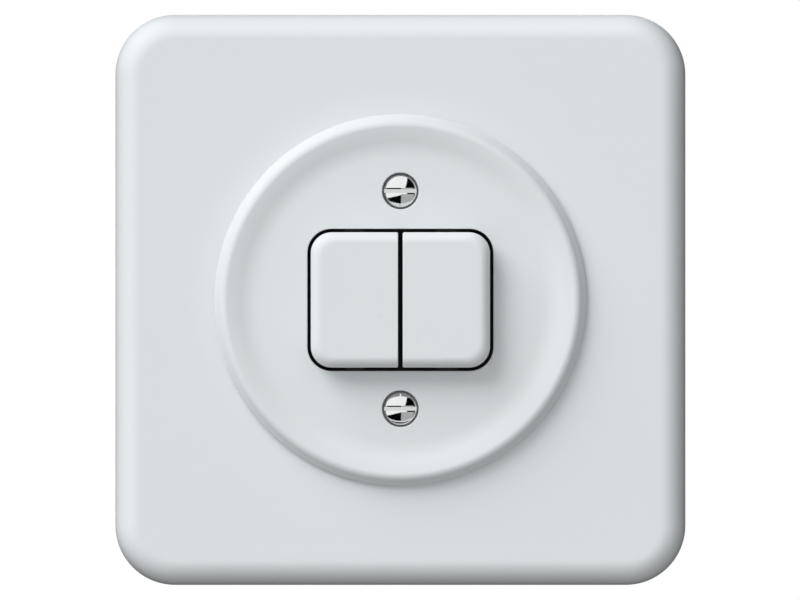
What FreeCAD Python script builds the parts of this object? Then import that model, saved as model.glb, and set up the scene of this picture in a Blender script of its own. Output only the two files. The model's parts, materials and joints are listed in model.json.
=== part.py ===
# Twin push button light switch for wall mounting.
# X is to the right, Z is up and -Y is toward the viewer. The wall is the plane Y = 0.
# "Front height" means the distance from the wall toward the viewer, "depth" the distance into the wall.
import FreeCAD
import Part
import Sketcher
import math
import os
import re

doc = FreeCAD.newDocument("light_switch")

# Sizes in millimetres and degrees
SIZES = [
    ("plate_side", "86", "cover plate, width and height"),
    ("plate_height", "9", "cover plate, front height of its face"),
    ("plate_corner", "9", "cover plate, corner radius"),
    ("plate_edge", "3.7", "cover plate, radius of the quarter round edge"),
    ("plate_wall", "2.2", "cover plate, wall thickness"),
    ("opening_dia", "51", "cover plate, round opening"),
    ("collar_wall", "1.4", "cover plate, wall of the collar round the opening"),
    ("post_in", "4.5", "cover plate, middle of a corner post inside the edge of the support plate"),
    ("post_side", "4", "cover plate, width of a corner post"),
    ("support_gap", "5.3", "gap between the support plate and the wall of the cover plate"),
    ("support_thick", "1.2", "support plate, sheet thickness"),
    ("support_corner", "3", "support plate, corner radius"),
    ("support_open_w", "31", "support plate, width of the opening"),
    ("support_open_h", "25", "support plate, height of the opening"),
    ("support_open_corner", "1", "support plate, corner radius of the opening"),
    ("fixing_in", "5.5", "support plate, middle of a fixing slot inside its edge"),
    ("fixing_width", "4.2", "support plate, width of a fixing slot"),
    ("fixing_length", "7", "support plate, length of a fixing slot"),
    ("cover_pitch", "32.8", "distance between the two cover screws"),
    ("boss_dia", "5.6", "tapped boss, outer diameter"),
    ("boss_rise", "2", "tapped boss, height above the sheet"),
    ("tapped_dia", "2.9", "tapped boss, hole"),
    ("disc_dia", "56", "centre disc, outer diameter"),
    ("disc_rise", "2.2", "centre disc, crest of the rim above the cover plate"),
    ("disc_round", "1.6", "centre disc, rounding of the rim"),
    ("disc_step_in", "0.6", "centre disc, distance of the fine step from the outside"),
    ("disc_step", "0.12", "centre disc, height of the fine step"),
    ("disc_lip", "1.26", "centre disc, straight edge above the cover plate"),
    ("dish_angle", "13.3", "centre disc, steepest angle of the slope, in degrees"),
    ("dish_ease", "8", "centre disc, rounding from the slope to the dish floor"),
    ("dish_slope", "4.7", "centre disc, width of the slope down to the dish floor"),
    ("disc_skin", "2", "centre disc, thickness at the dish floor"),
    ("ring_depth", "2", "centre disc, depth of the locating ring"),
    ("ring_wall", "1.4", "centre disc, wall of the locating ring"),
    ("ring_play", "0.2", "centre disc, gap between locating ring and opening"),
    ("window_w", "28", "window, width"),
    ("window_h", "21.4", "window, height"),
    ("window_corner", "3.25", "window, corner radius"),
    ("guide_wall", "1.2", "window, wall of the guide collar behind it"),
    ("guide_depth", "1.5", "window, depth of the guide collar"),
    ("pillar_dia", "8", "pillar round a cover screw, diameter"),
    ("recess_play", "0.3", "screw recess, gap round the head"),
    ("recess_depth", "2.1", "screw recess, depth of its flat seat below the dish floor"),
    ("recess_edge", "0.12", "screw recess, rounding at the dish floor"),
    ("screw_hole", "3.2", "screw recess, through hole"),
    ("head_dia", "4.9", "cover screw, head diameter"),
    ("head_edge", "1.7", "cover screw, straight edge of the head"),
    ("head_crown", "0.22", "cover screw, height of the domed top"),
    ("shank_dia", "2.85", "cover screw, shank diameter"),
    ("slot_width", "0.95", "cover screw, width of the slot"),
    ("slot_depth", "0.9", "cover screw, depth of the slot"),
    ("screw_past", "0.8", "cover screw, length past the back of the support plate"),
    ("button_w", "13.13", "button, width"),
    ("button_h", "20.35", "button, height"),
    ("button_gap", "0.7", "gap between the two buttons"),
    ("button_rise", "4", "button, face above the dish floor"),
    ("button_round", "1.45", "button, rounding of the three outer edges"),
    ("button_edge", "0.3", "button, rounding of the edge at the middle gap"),
    ("button_corner", "2.85", "button, radius of the two outer corners"),
    ("button_wall", "1.5", "button, wall thickness"),
    ("button_depth", "8.6", "button, from its face to the end of the skirt"),
    ("stroke", "3.2", "button, travel"),
    ("lug_width", "3", "button, width of a retaining lug"),
    ("lug_reach", "1.2", "button, reach of a retaining lug"),
    ("lug_thick", "1", "button, thickness of a retaining lug"),
    ("stem_w", "4.4", "stem, width"),
    ("stem_h", "6.6", "stem, height"),
    ("stem_past", "1.2", "stem, length past the pin of the pawl"),
    ("stem_play", "0.1", "stem, gap to the guide on each side"),
    ("fork_gap", "1.6", "stem, width of the fork that holds the pawl"),
    ("fork_depth", "3", "stem, depth of the fork"),
    ("pawl_stand", "8.8", "pawl, distance of its pin from the rocker axle"),
    ("pawl_pin_dia", "1.2", "pawl, pin diameter"),
    ("pin_inset", "0.1", "pawl, ends of the pin below the sides of the stem"),
    ("pawl_thick", "1.4", "pawl, thickness"),
    ("pawl_eye", "3", "pawl, outside of the eye"),
    ("pawl_root", "1.8", "pawl, width at the eye"),
    ("pawl_tip", "1.2", "pawl, diameter of the round tip"),
    ("pawl_length", "6.18", "pawl, from its pin to the middle of the tip"),
    ("pawl_lean", "17", "pawl, lean at rest in degrees"),
    ("spring_dia", "9.2", "return spring, mean diameter"),
    ("spring_wire", "0.6", "return spring, side of the square wire"),
    ("spring_turns", "3.5", "return spring, number of turns"),
    ("spring_play", "0.05", "return spring, gap at each end"),
    ("shell_w", "42", "base and inner cover, width"),
    ("shell_h", "40", "base and inner cover, height"),
    ("shell_cut", "5", "base and inner cover, corner cut"),
    ("shell_round", "0.8", "base and inner cover, rounding of the upright corners"),
    ("lid_thick", "2", "inner cover, thickness"),
    ("lid_rise", "1.6", "inner cover, platform in front of the wall plane"),
    ("lid_play", "0.2", "inner cover, gap between platform and support plate"),
    ("seat_depth", "0.4", "inner cover, depth of a spring seat"),
    ("seat_play", "0.2", "inner cover, gap round the spring in its seat"),
    ("sleeve_wall", "1.2", "inner cover, wall of a stem guide"),
    ("sleeve_depth", "1.5", "inner cover, length of a stem guide behind the lid"),
    ("finger_w", "1.4", "inner cover, width of a finger that keeps the axle down"),
    ("tip_hole_dia", "3.6", "inner cover, clearance hole for the tip of a cover screw"),
    ("base_depth", "22", "base, depth of its back face"),
    ("base_floor", "1.35", "base, floor thickness"),
    ("base_round", "0.5", "base, rounding round its back face"),
    ("middle_wall", "2", "base, wall between the two cavities"),
    ("cavity_w", "13.4", "base, width of a cavity"),
    ("side_wall", "1.6", "base, wall above and below the cavities"),
    ("rib_gap", "0.6", "base, gap between a cross rib and a terminal block"),
    ("rib_thick", "0.8", "base, thickness of a rib"),
    ("rib_root", "0.2", "base, how far a rib runs into the wall that carries it"),
    ("rib_clear", "2.05", "base, gap under a cross rib for the strips"),
    ("relief_in", "1.4", "base, wall between cavity and side pocket"),
    ("relief_out", "1.4", "base, wall outside a side pocket"),
    ("relief_low", "4.5", "base, start of a side pocket above the middle"),
    ("relief_top", "7", "base, end of a side pocket below the top"),
    ("axle_rise", "5.15", "rocker axle, distance from the knife edge of the contact lever"),
    ("axle_dia", "1.6", "rocker axle, diameter"),
    ("axle_span", "32.2", "rocker axle, length"),
    ("axle_end_play", "0.1", "gap at each end of the rocker axle"),
    ("fit_play", "0.02", "radial gap of fixed pins in their holes"),
    ("run_play", "0.05", "radial gap of turning pins in their holes"),
    ("rivet_in", "3", "tubular rivet, distance from the side of the base"),
    ("rivet_dia", "2.5", "tubular rivet, outside"),
    ("rivet_core", "1.4", "tubular rivet, inside"),
    ("rivet_head", "4.4", "tubular rivet, head diameter"),
    ("rivet_rim", "0.6", "tubular rivet, head thickness"),
    ("rocker_w", "5", "rocker, width"),
    ("rocker_tilt", "15", "rocker, tilt at rest in degrees"),
    ("rocker_ridge", "2", "rocker, height of the ridge over the axle"),
    ("rocker_notch", "0.4", "rocker, height of the notch floor over the axle"),
    ("notch_near", "2.2", "rocker, start of the notch floor"),
    ("notch_far", "3.8", "rocker, end of the notch floor"),
    ("rocker_arm", "5.4", "rocker, half length"),
    ("arm_under", "1.6", "rocker, underside of an arm below the axle"),
    ("arm_taper", "0.8", "rocker, how far the underside of an arm is shorter"),
    ("horn_rise", "1", "rocker, height of the horn at the end of an arm"),
    ("horn_in", "0.6", "rocker, distance of the horn from the end of an arm"),
    ("rocker_foot", "3.7", "rocker, foot below the axle"),
    ("foot_half", "1.8", "rocker, half width of the foot"),
    ("plunger_dia", "1.9", "snap plunger, diameter"),
    ("plunger_reach", "4.6", "snap plunger, distance of its nose from the axle"),
    ("plunger_back", "3", "snap plunger, distance of its inner end from the axle"),
    ("nose_rise", "0.6", "snap plunger, height of its domed nose"),
    ("bore_end", "1.6", "rocker, inner end of the plunger bore"),
    ("coil_dia", "1.4", "plunger spring, mean diameter"),
    ("coil_wire", "0.26", "plunger spring, side of the square wire"),
    ("coil_turns", "3", "plunger spring, number of turns"),
    ("knife_rise", "2.1", "contact lever, height of the knife edge it turns on over the strip"),
    ("lever_front", "0.5", "contact lever, front face ahead of the pivot"),
    ("lever_back", "0.3", "contact lever, back face behind the pivot"),
    ("lever_half", "6.4", "contact lever, half length"),
    ("lever_w", "3.2", "contact lever, width"),
    ("lever_tilt", "8", "contact lever, tilt at rest in degrees"),
    ("groove_half", "0.35", "contact lever, half width of the pivot groove"),
    ("contact_at", "5.4", "moving contact, distance from the pivot"),
    ("contact_dia", "2.4", "moving contact, head diameter"),
    ("contact_rise", "0.5", "contacts, head thickness"),
    ("contact_dome", "0.35", "moving contact, height of the dome"),
    ("rivet_shank", "1.2", "contacts, shank diameter"),
    ("contact_gap", "0.035", "gap left between the closed contacts"),
    ("strip_thick", "0.8", "terminal strips, thickness"),
    ("strip_w", "2.6", "terminal strips, width"),
    ("strip_under", "0.5", "terminal strips, length under the block"),
    ("strip_edge", "0.1", "terminal strips, margin beside the contact lever"),
    ("strip_margin", "0.5", "terminal strips, margin above a fixed contact"),
    ("strip_gap", "0.2", "terminal strips, margin below a fixed contact"),
    ("strip_set", "0.8", "upper terminal strip, offset from the side of its block"),
    ("knife_half", "1", "common terminal strip, half height at the knife edge"),
    ("knife_root", "0.6", "knife edge, half height at its root"),
    ("knife_tip", "0.06", "knife edge, half height at its tip"),
    ("knife_play", "0.12", "knife edge, gap to the groove of the contact lever"),
    ("knife_inset", "0.1", "knife edge, ends inside the width of the contact lever"),
    ("block_w", "4.8", "terminal block, width"),
    ("block_h", "4.8", "terminal block, height"),
    ("block_play", "0.2", "terminal block, gap to the wall of the base"),
    ("block_depth", "6.25", "terminal block, from its back to its front"),
    ("inner_block", "4", "terminal block next to the middle wall, sideways position"),
    ("outer_block", "11.4", "terminal block next to the side wall, sideways position"),
    ("wire_dia", "2.8", "wire hole in a terminal block"),
    ("wire_depth", "5.5", "wire hole, depth from the back of the block"),
    ("entry_dia", "3.4", "wire entry in the base floor"),
    ("clamp_in", "3.05", "terminal screw, distance from the base floor"),
    ("clamp_dia", "2.6", "terminal screw, shank diameter"),
    ("clamp_head", "4.4", "terminal screw, head diameter"),
    ("clamp_rise", "1.6", "terminal screw, head height"),
    ("clamp_length", "1.75", "terminal screw, shank length"),
    ("clamp_slot", "0.8", "terminal screw, width and depth of the slot"),
    ("clamp_play", "0.05", "terminal screw, gap under its head"),
    ("access_dia", "4.8", "screw access hole in the base"),
]
# Sizes that follow from the ones above
DERIVED = [
    ("unit_x", "=(button_gap + button_w) / 2", "sideways position of a switch unit"),
    ("face_top", "=plate_height + disc_rise", "front height of the rim crest"),
    ("slope_ends", "=(disc_round + dish_ease) * sin(dish_angle)", "width of both rounded ends of the slope"),
    ("slope_drop", "=(disc_round + dish_ease) * (1 - cos(dish_angle))", "depth of both rounded ends"),
    ("dish_depth", "=slope_drop + (dish_slope - slope_ends) * tan(dish_angle)", "depth of the dish"),
    ("dish_top", "=plate_height + disc_rise - dish_depth", "front height of the dish floor"),
    ("disc_under", "=dish_top - disc_skin", "front height of the inner side of the disc"),
    ("recess_dia", "=head_dia + 2 * recess_play", "diameter of a screw recess"),
    ("head_seat", "=dish_top - recess_depth", "front height of the seat of a cover screw"),
    ("head_top", "=head_seat + head_edge", "front height of the rim of a screw head"),
    ("button_top", "=dish_top + button_rise", "front height of a button face"),
    ("button_under", "=button_top - button_wall", "front height of the inner side of a button face"),
    ("boss_top", "=support_thick + boss_rise", "front height of a tapped boss"),
    ("spring_seat", "=lid_rise - seat_depth", "front height of a spring seat"),
    ("floor_depth", "=base_depth - base_floor", "depth of the base floor"),
    ("pad_depth", "=floor_depth - strip_thick", "depth of the front of the strips"),
    ("lever_pivot", "=pad_depth - knife_rise", "depth of the pivot of a contact lever"),
    ("axle_depth", "=lever_pivot - axle_rise", "depth of the rocker axle"),
    ("pawl_pivot", "=axle_depth - pawl_stand", "depth of the pin of a pawl"),
    ("stem_end", "=pawl_pivot + stem_past", "depth of the end of a stem"),
    ("clamp_depth", "=floor_depth - clamp_in", "depth of a terminal screw"),
    ("cavity_half", "=shell_h / 2 - side_wall", "half height of a cavity"),
    ("block_high", "=cavity_half - block_play", "end of a terminal block above the middle"),
    ("block_low", "=block_high - block_h", "start of a terminal block above the middle"),
    ("wire_at", "=(block_low + block_high) / 2", "wire hole, distance above the middle"),
    ("rib_at", "=block_low - rib_gap - rib_thick / 2", "distance of the cross ribs from the middle"),
    ("cavity_out", "=middle_wall / 2 + cavity_w", "outer side of a cavity"),
    ("relief_high", "=shell_h / 2 - relief_top", "end of a side pocket above the middle"),
    ("relief_w", "=shell_w / 2 - relief_out - cavity_out - relief_in", "width of a side pocket"),
    ("rivet_pitch", "=shell_w - 2 * rivet_in", "distance between the two tubular rivets"),
    ("support_side", "=plate_side - 2 * plate_wall - 2 * support_gap", "side of the support plate"),
    ("post_pitch", "=support_side - 2 * post_in", "distance between the corner posts"),
    ("fixing_pitch", "=support_side - 2 * fixing_in", "distance between opposite fixing slots"),
]

sheet = doc.addObject("Spreadsheet::Sheet", "Sizes")
for row, (alias, value, words) in enumerate(SIZES + DERIVED, 1):
    sheet.set("A%d" % row, words)
    sheet.set("B%d" % row, value)
    sheet.setAlias("B%d" % row, alias)
doc.recompute()
NAMES = {item[0] for item in SIZES + DERIVED}


def linked(text):
    """The expression with every size name pointing at the sheet."""
    return re.sub(r"[a-z_]+", lambda m: "Sizes." + m.group(0) if m.group(0) in NAMES else m.group(0), text)


def value(text):
    """The number that an expression gives now."""
    return float(sheet.evalExpression(linked(text)))


# Sketch helpers
PLANES = {"front": "XZ_Plane", "side": "YZ_Plane", "top": "XY_Plane"}


def new_body(label):
    body = doc.addObject("PartDesign::Body", "Body_" + label)
    body.Label = label
    return body


def new_sketch(body, name, plane, offset="0"):
    """Front plane: x to the right, y up, offset toward the viewer.
    Side plane: x is depth, y up, offset to the right.
    Top plane: x to the right, y is depth, offset up."""
    sketch = body.newObject("Sketcher::SketchObject", name)
    origin = [f for f in body.Origin.OriginFeatures if f.Role == PLANES[plane]][0]
    sketch.AttachmentSupport = [(origin, "")]
    sketch.MapMode = "FlatFace"
    if offset != "0":
        sketch.setExpression("AttachmentOffset.Base.z", linked(offset))
    return sketch


def hold_point(sketch, geo, point, x, y):
    """Fix one point of a sketch by two distances from the sketch origin."""
    for kind, axis, text in (("DistanceX", -2, x), ("DistanceY", -1, y)):
        if text == "0":
            sketch.addConstraint(Sketcher.Constraint("PointOnObject", geo, point, axis))
        else:
            number = sketch.addConstraint(Sketcher.Constraint(kind, -1, 1, geo, point, value(text)))
            sketch.setExpression("Constraints[%d]" % number, linked(text))


def arc_between(start, end, radius):
    """Short arc from start to end; a positive radius turns left."""
    mid = (start + end) * 0.5
    chord = end - start
    left = FreeCAD.Vector(-chord.y, chord.x, 0).normalize()
    rise = math.sqrt(max(radius * radius - chord.Length * chord.Length / 4, 0))
    side = 1 if radius > 0 else -1
    centre = mid + left * rise * side
    first = math.atan2(start.y - centre.y, start.x - centre.x)
    last = math.atan2(end.y - centre.y, end.x - centre.x)
    circle = Part.Circle(centre, FreeCAD.Vector(0, 0, 1), abs(radius))
    if side > 0:
        return Part.ArcOfCircle(circle, first, last)
    return Part.ArcOfCircle(circle, last, first)


def draw_outline(sketch, points):
    """Closed outline of points (x, y), or (x, y, radius, turn) where an arc runs on to the next point."""
    spots = [FreeCAD.Vector(value(p[0]), value(p[1]), 0) for p in points]
    ends = []
    for number, point in enumerate(points):
        start = spots[number]
        end = spots[(number + 1) % len(points)]
        if len(point) == 2:
            geo = sketch.addGeometry(Part.LineSegment(start, end), False)
            ends.append((geo, 1, 2))
        else:
            turn = point[3]
            geo = sketch.addGeometry(arc_between(start, end, turn * value(point[2])), False)
            ends.append((geo, 1, 2) if turn > 0 else (geo, 2, 1))
    for number, (geo, first, last) in enumerate(ends):
        following = ends[(number + 1) % len(ends)]
        sketch.addConstraint(Sketcher.Constraint("Coincident", geo, last, following[0], following[1]))
        hold_point(sketch, geo, first, points[number][0], points[number][1])
        if len(points[number]) == 4:
            k = sketch.addConstraint(Sketcher.Constraint("Radius", geo, value(points[number][2])))
            sketch.setExpression("Constraints[%d]" % k, linked(points[number][2]))


def draw_box(sketch, x0, x1, y0, y1):
    draw_outline(sketch, [(x0, y0), (x1, y0), (x1, y1), (x0, y1)])


def draw_round_box(sketch, wide, high, corner):
    """Rectangle with round corners, centred on the origin."""
    w = "(%s) / 2" % wide
    h = "(%s) / 2" % high
    r = "(%s)" % corner
    draw_outline(sketch, [
        ("-%s + %s" % (w, r), "-%s" % h),
        ("%s - %s" % (w, r), "-%s" % h, corner, 1),
        (w, "-%s + %s" % (h, r)),
        (w, "%s - %s" % (h, r), corner, 1),
        ("%s - %s" % (w, r), h),
        ("-%s + %s" % (w, r), h, corner, 1),
        ("-%s" % w, "%s - %s" % (h, r)),
        ("-%s" % w, "-%s + %s" % (h, r), corner, 1),
    ])


def draw_circle(sketch, x, y, diameter):
    centre = FreeCAD.Vector(value(x), value(y), 0)
    geo = sketch.addGeometry(Part.Circle(centre, FreeCAD.Vector(0, 0, 1), value(diameter) / 2), False)
    hold_point(sketch, geo, 3, x, y)
    k = sketch.addConstraint(Sketcher.Constraint("Diameter", geo, value(diameter)))
    sketch.setExpression("Constraints[%d]" % k, linked(diameter))


def draw_slot(sketch, x, y, length, wide, upright):
    """Slot with round ends, centred on (x, y)."""
    reach = "((%s) - (%s)) / 2" % (length, wide)
    radius = value(wide) / 2
    if upright:
        centres = [(x, "%s - %s" % (y, reach)), (x, "%s + %s" % (y, reach))]
        angles = [(math.pi, 2 * math.pi), (0, math.pi)]
    else:
        centres = [("%s - %s" % (x, reach), y), ("%s + %s" % (x, reach), y)]
        angles = [(math.pi / 2, 3 * math.pi / 2), (-math.pi / 2, math.pi / 2)]
    arcs = []
    for (cx, cy), (first, last) in zip(centres, angles):
        circle = Part.Circle(FreeCAD.Vector(value(cx), value(cy), 0), FreeCAD.Vector(0, 0, 1), radius)
        arcs.append(sketch.addGeometry(Part.ArcOfCircle(circle, first, last), False))
    lines = []
    for first, last in ((arcs[0], arcs[1]), (arcs[1], arcs[0])):
        start = sketch.getPoint(first, 2)
        end = sketch.getPoint(last, 1)
        line = sketch.addGeometry(Part.LineSegment(start, end), False)
        sketch.addConstraint(Sketcher.Constraint("Tangent", first, 2, line, 1))
        sketch.addConstraint(Sketcher.Constraint("Tangent", line, 2, last, 1))
        lines.append(line)
    for arc, (cx, cy) in zip(arcs, centres):
        hold_point(sketch, arc, 3, cx, cy)
    k = sketch.addConstraint(Sketcher.Constraint("Radius", arcs[0], radius))
    sketch.setExpression("Constraints[%d]" % k, linked("(%s) / 2" % wide))


# Feature helpers
def add_feature(body, kind, sketch, length, reverse=False, both=False):
    feature = body.newObject("PartDesign::" + kind, kind + "_" + sketch.Name)
    feature.Profile = sketch
    if both:
        feature.SideType = "Symmetric"
    feature.setExpression("Length", linked(length))
    feature.Reversed = reverse
    sketch.Visibility = False
    return feature


def pad(body, sketch, length, reverse=False, both=False):
    return add_feature(body, "Pad", sketch, length, reverse, both)


def pocket(body, sketch, length, reverse=False, both=False):
    return add_feature(body, "Pocket", sketch, length, reverse, both)


def turned(body, kind, sketch):
    """Revolution or groove about the upright axis of its sketch."""
    feature = body.newObject("PartDesign::" + kind, kind + "_" + sketch.Name)
    feature.Profile = sketch
    feature.ReferenceAxis = (sketch, ["V_Axis"])
    feature.Angle = 360
    sketch.Visibility = False
    return feature


def fillet(body, radius, chosen):
    """Round the edges of the last feature for which chosen(bounds of the edge) is true."""
    doc.recompute()
    last = body.Tip
    names = ["Edge%d" % (n + 1) for n, edge in enumerate(last.Shape.Edges) if chosen(edge.BoundBox)]
    feature = body.newObject("PartDesign::Fillet", "Fillet_" + last.Name)
    feature.Base = (last, names)
    feature.setExpression("Radius", linked(radius))
    return feature


def place(body, x="0", y="0", z="0", angle=None, axis=(1, 0, 0)):
    body.Placement = FreeCAD.Placement(FreeCAD.Vector(), FreeCAD.Rotation(FreeCAD.Vector(*axis), 1))
    if angle is None:
        body.Placement = FreeCAD.Placement()
    else:
        body.setExpression("Placement.Rotation.Angle", linked(angle))
    for name, text in (("x", x), ("y", y), ("z", z)):
        if text != "0":
            body.setExpression("Placement.Base." + name, linked(text))


def near(a, b):
    return abs(a - b) < 0.001


PIECES = []


def done(body):
    PIECES.append(body)


# Cover plate: hollow moulding with a round opening, a collar round it and four posts
body = new_body("cover_plate")
sk = new_sketch(body, "plate_outline", "front")
draw_round_box(sk, "plate_side", "plate_side", "plate_corner")
pad(body, sk, "plate_height")
fillet(body, "plate_edge", lambda b: near(b.YMin, -value("plate_height")) and near(b.YMax, b.YMin))
sk = new_sketch(body, "plate_hollow", "front")
draw_round_box(sk, "plate_side - 2 * plate_wall", "plate_side - 2 * plate_wall", "plate_corner - plate_wall")
pocket(body, sk, "plate_height - plate_wall", reverse=True)
sk = new_sketch(body, "plate_collar", "front", "support_thick")
draw_circle(sk, "0", "0", "opening_dia + 2 * collar_wall")
pad(body, sk, "plate_height - plate_wall / 2 - support_thick")
sk = new_sketch(body, "plate_posts", "front", "support_thick")
for sx in ("-", ""):
    for sz in ("-", ""):
        draw_box(sk, "%spost_pitch / 2 - post_side / 2" % sx, "%spost_pitch / 2 + post_side / 2" % sx,
                 "%spost_pitch / 2 - post_side / 2" % sz, "%spost_pitch / 2 + post_side / 2" % sz)
pad(body, sk, "plate_height - plate_wall / 2 - support_thick")
sk = new_sketch(body, "plate_opening", "front", "plate_height")
draw_circle(sk, "0", "0", "opening_dia")
pocket(body, sk, "plate_height")
done(body)

# Centre disc: rolled rim with a fine step, shallow dish, window, guide collar and two screw pillars
body = new_body("centre_disc")
step_drop = "(disc_round - sqrt(disc_round ^ 2 - (disc_round - disc_step_in) ^ 2))"
rim_in = "(disc_dia / 2 - disc_round)"
sk = new_sketch(body, "disc_section", "top")
draw_outline(sk, [
    ("0", "-dish_top"),
    ("0", "-disc_under"),
    ("opening_dia / 2 - ring_play - ring_wall", "-disc_under"),
    ("opening_dia / 2 - ring_play - ring_wall", "-disc_under + ring_depth"),
    ("opening_dia / 2 - ring_play", "-disc_under + ring_depth"),
    ("opening_dia / 2 - ring_play", "-plate_height"),
    ("disc_dia / 2", "-plate_height"),
    ("disc_dia / 2", "-plate_height - disc_lip"),
    ("disc_dia / 2 - disc_step_in", "-face_top + %s + disc_step" % step_drop),
    ("disc_dia / 2 - disc_step_in", "-face_top + %s" % step_drop, "disc_round", -1),
    (rim_in, "-face_top", "disc_round", -1),
    ("%s - disc_round * sin(dish_angle)" % rim_in, "-face_top + disc_round * (1 - cos(dish_angle))"),
    ("%s - dish_slope + dish_ease * sin(dish_angle)" % rim_in,
     "-dish_top - dish_ease * (1 - cos(dish_angle))", "dish_ease", 1),
    ("%s - dish_slope" % rim_in, "-dish_top"),
])
turned(body, "Revolution", sk)
sk = new_sketch(body, "window_guide", "front", "disc_under")
draw_round_box(sk, "window_w + 2 * guide_wall", "window_h + 2 * guide_wall", "window_corner + guide_wall")
pad(body, sk, "guide_depth", reverse=True)
sk = new_sketch(body, "screw_pillars", "front", "disc_under")
for sign in ("-", ""):
    draw_circle(sk, "0", "%scover_pitch / 2" % sign, "pillar_dia")
pad(body, sk, "disc_under - boss_top", reverse=True)
sk = new_sketch(body, "window", "front", "face_top")
draw_round_box(sk, "window_w", "window_h", "window_corner")
pocket(body, sk, "face_top")
for sign in ("-", ""):
    sk = new_sketch(body, "screw_recess", "top", "%scover_pitch / 2" % sign)
    draw_outline(sk, [
        ("0", "-face_top"),
        ("recess_dia / 2 + recess_edge", "-face_top"),
        ("recess_dia / 2 + recess_edge", "-dish_top", "recess_edge", 1),
        ("recess_dia / 2", "-dish_top + recess_edge"),
        ("recess_dia / 2", "-dish_top + recess_depth"),
        ("screw_hole / 2", "-dish_top + recess_depth"),
        ("screw_hole / 2", "0"),
        ("0", "0"),
    ])
    turned(body, "Groove", sk)
done(body)

# Cover screws: slotted cheese heads with a domed top
for label, sign in (("upper_cover_screw", ""), ("lower_cover_screw", "-")):
    body = new_body(label)
    crown_radius = "((head_dia / 2) ^ 2 + head_crown ^ 2) / (2 * head_crown)"
    sk = new_sketch(body, "screw_section", "top", "%scover_pitch / 2" % sign)
    draw_outline(sk, [
        ("0", "-head_top - head_crown", crown_radius, 1),
        ("head_dia / 2", "-head_top"),
        ("head_dia / 2", "-head_seat"),
        ("shank_dia / 2", "-head_seat"),
        ("shank_dia / 2", "screw_past"),
        ("0", "screw_past"),
    ])
    turned(body, "Revolution", sk)
    sk = new_sketch(body, "screw_slot", "front", "head_top + head_crown")
    draw_box(sk, "-head_dia", "head_dia",
             "%scover_pitch / 2 - slot_width / 2" % sign, "%scover_pitch / 2 + slot_width / 2" % sign)
    pocket(body, sk, "slot_depth")
    done(body)

# Support plate: sheet steel with an opening, four fixing slots and two tapped bosses
body = new_body("support_plate")
sk = new_sketch(body, "support_outline", "front")
draw_round_box(sk, "support_side", "support_side", "support_corner")
pad(body, sk, "support_thick")
sk = new_sketch(body, "support_bosses", "front", "support_thick / 2")
for sign in ("-", ""):
    draw_circle(sk, "0", "%scover_pitch / 2" % sign, "boss_dia")
pad(body, sk, "boss_top - support_thick / 2")
sk = new_sketch(body, "support_opening", "front", "support_thick")
draw_round_box(sk, "support_open_w", "support_open_h", "support_open_corner")
pocket(body, sk, "support_thick")
sk = new_sketch(body, "support_slots", "front", "support_thick")
for sign in ("-", ""):
    draw_slot(sk, "%sfixing_pitch / 2" % sign, "0", "fixing_length", "fixing_width", False)
    draw_slot(sk, "0", "%sfixing_pitch / 2" % sign, "fixing_length", "fixing_width", True)
pocket(body, sk, "support_thick")
sk = new_sketch(body, "support_holes", "front", "boss_top")
for sign in ("-", ""):
    draw_circle(sk, "0", "%scover_pitch / 2" % sign, "tapped_dia")
    draw_circle(sk, "%srivet_pitch / 2" % sign, "0", "rivet_dia + 2 * fit_play")
pocket(body, sk, "boss_top")
done(body)


def draw_shell(sketch):
    """Rectangle with cut corners that fits a round wall box."""
    draw_outline(sketch, [
        ("-shell_w / 2 + shell_cut", "-shell_h / 2"),
        ("shell_w / 2 - shell_cut", "-shell_h / 2"),
        ("shell_w / 2", "-shell_h / 2 + shell_cut"),
        ("shell_w / 2", "shell_h / 2 - shell_cut"),
        ("shell_w / 2 - shell_cut", "shell_h / 2"),
        ("-shell_w / 2 + shell_cut", "shell_h / 2"),
        ("-shell_w / 2", "shell_h / 2 - shell_cut"),
        ("-shell_w / 2", "-shell_h / 2 + shell_cut"),
    ])


def upright(bounds):
    """True for an edge that runs straight into the wall."""
    return bounds.YLength > max(bounds.XLength, bounds.ZLength)


# Inner cover: closes the base, seats the springs, guides the stems and keeps the axle down
body = new_body("inner_cover")
sk = new_sketch(body, "lid_outline", "front", "-lid_thick")
draw_shell(sk)
pad(body, sk, "lid_thick")
fillet(body, "shell_round", upright)
sk = new_sketch(body, "lid_platform", "front", "-lid_thick / 2")
draw_round_box(sk, "support_open_w - 2 * lid_play", "support_open_h - 2 * lid_play",
               "support_open_corner")
pad(body, sk, "lid_rise + lid_thick / 2")
sk = new_sketch(body, "stem_sleeves", "front", "-lid_thick / 2")
for sign in ("-", ""):
    draw_box(sk, "%sunit_x - stem_w / 2 - stem_play - sleeve_wall" % sign,
             "%sunit_x + stem_w / 2 + stem_play + sleeve_wall" % sign,
             "-stem_h / 2 - stem_play - sleeve_wall", "stem_h / 2 + stem_play + sleeve_wall")
pad(body, sk, "sleeve_depth + lid_thick / 2", reverse=True)
sk = new_sketch(body, "axle_fingers", "front", "-lid_thick / 2")
for x in ("-axle_span / 2 + finger_w / 2", "0", "axle_span / 2 - finger_w / 2"):
    draw_box(sk, x + " - finger_w / 2", x + " + finger_w / 2",
             "-axle_dia / 2 + run_play", "axle_dia / 2 - run_play")
pad(body, sk, "axle_depth - axle_dia / 2 - run_play - lid_thick / 2", reverse=True)
sk = new_sketch(body, "spring_seats", "front", "lid_rise")
for sign in ("-", ""):
    draw_circle(sk, "%sunit_x" % sign, "0", "spring_dia + spring_wire + 2 * seat_play")
pocket(body, sk, "seat_depth")
sk = new_sketch(body, "stem_holes", "front", "lid_rise")
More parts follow.
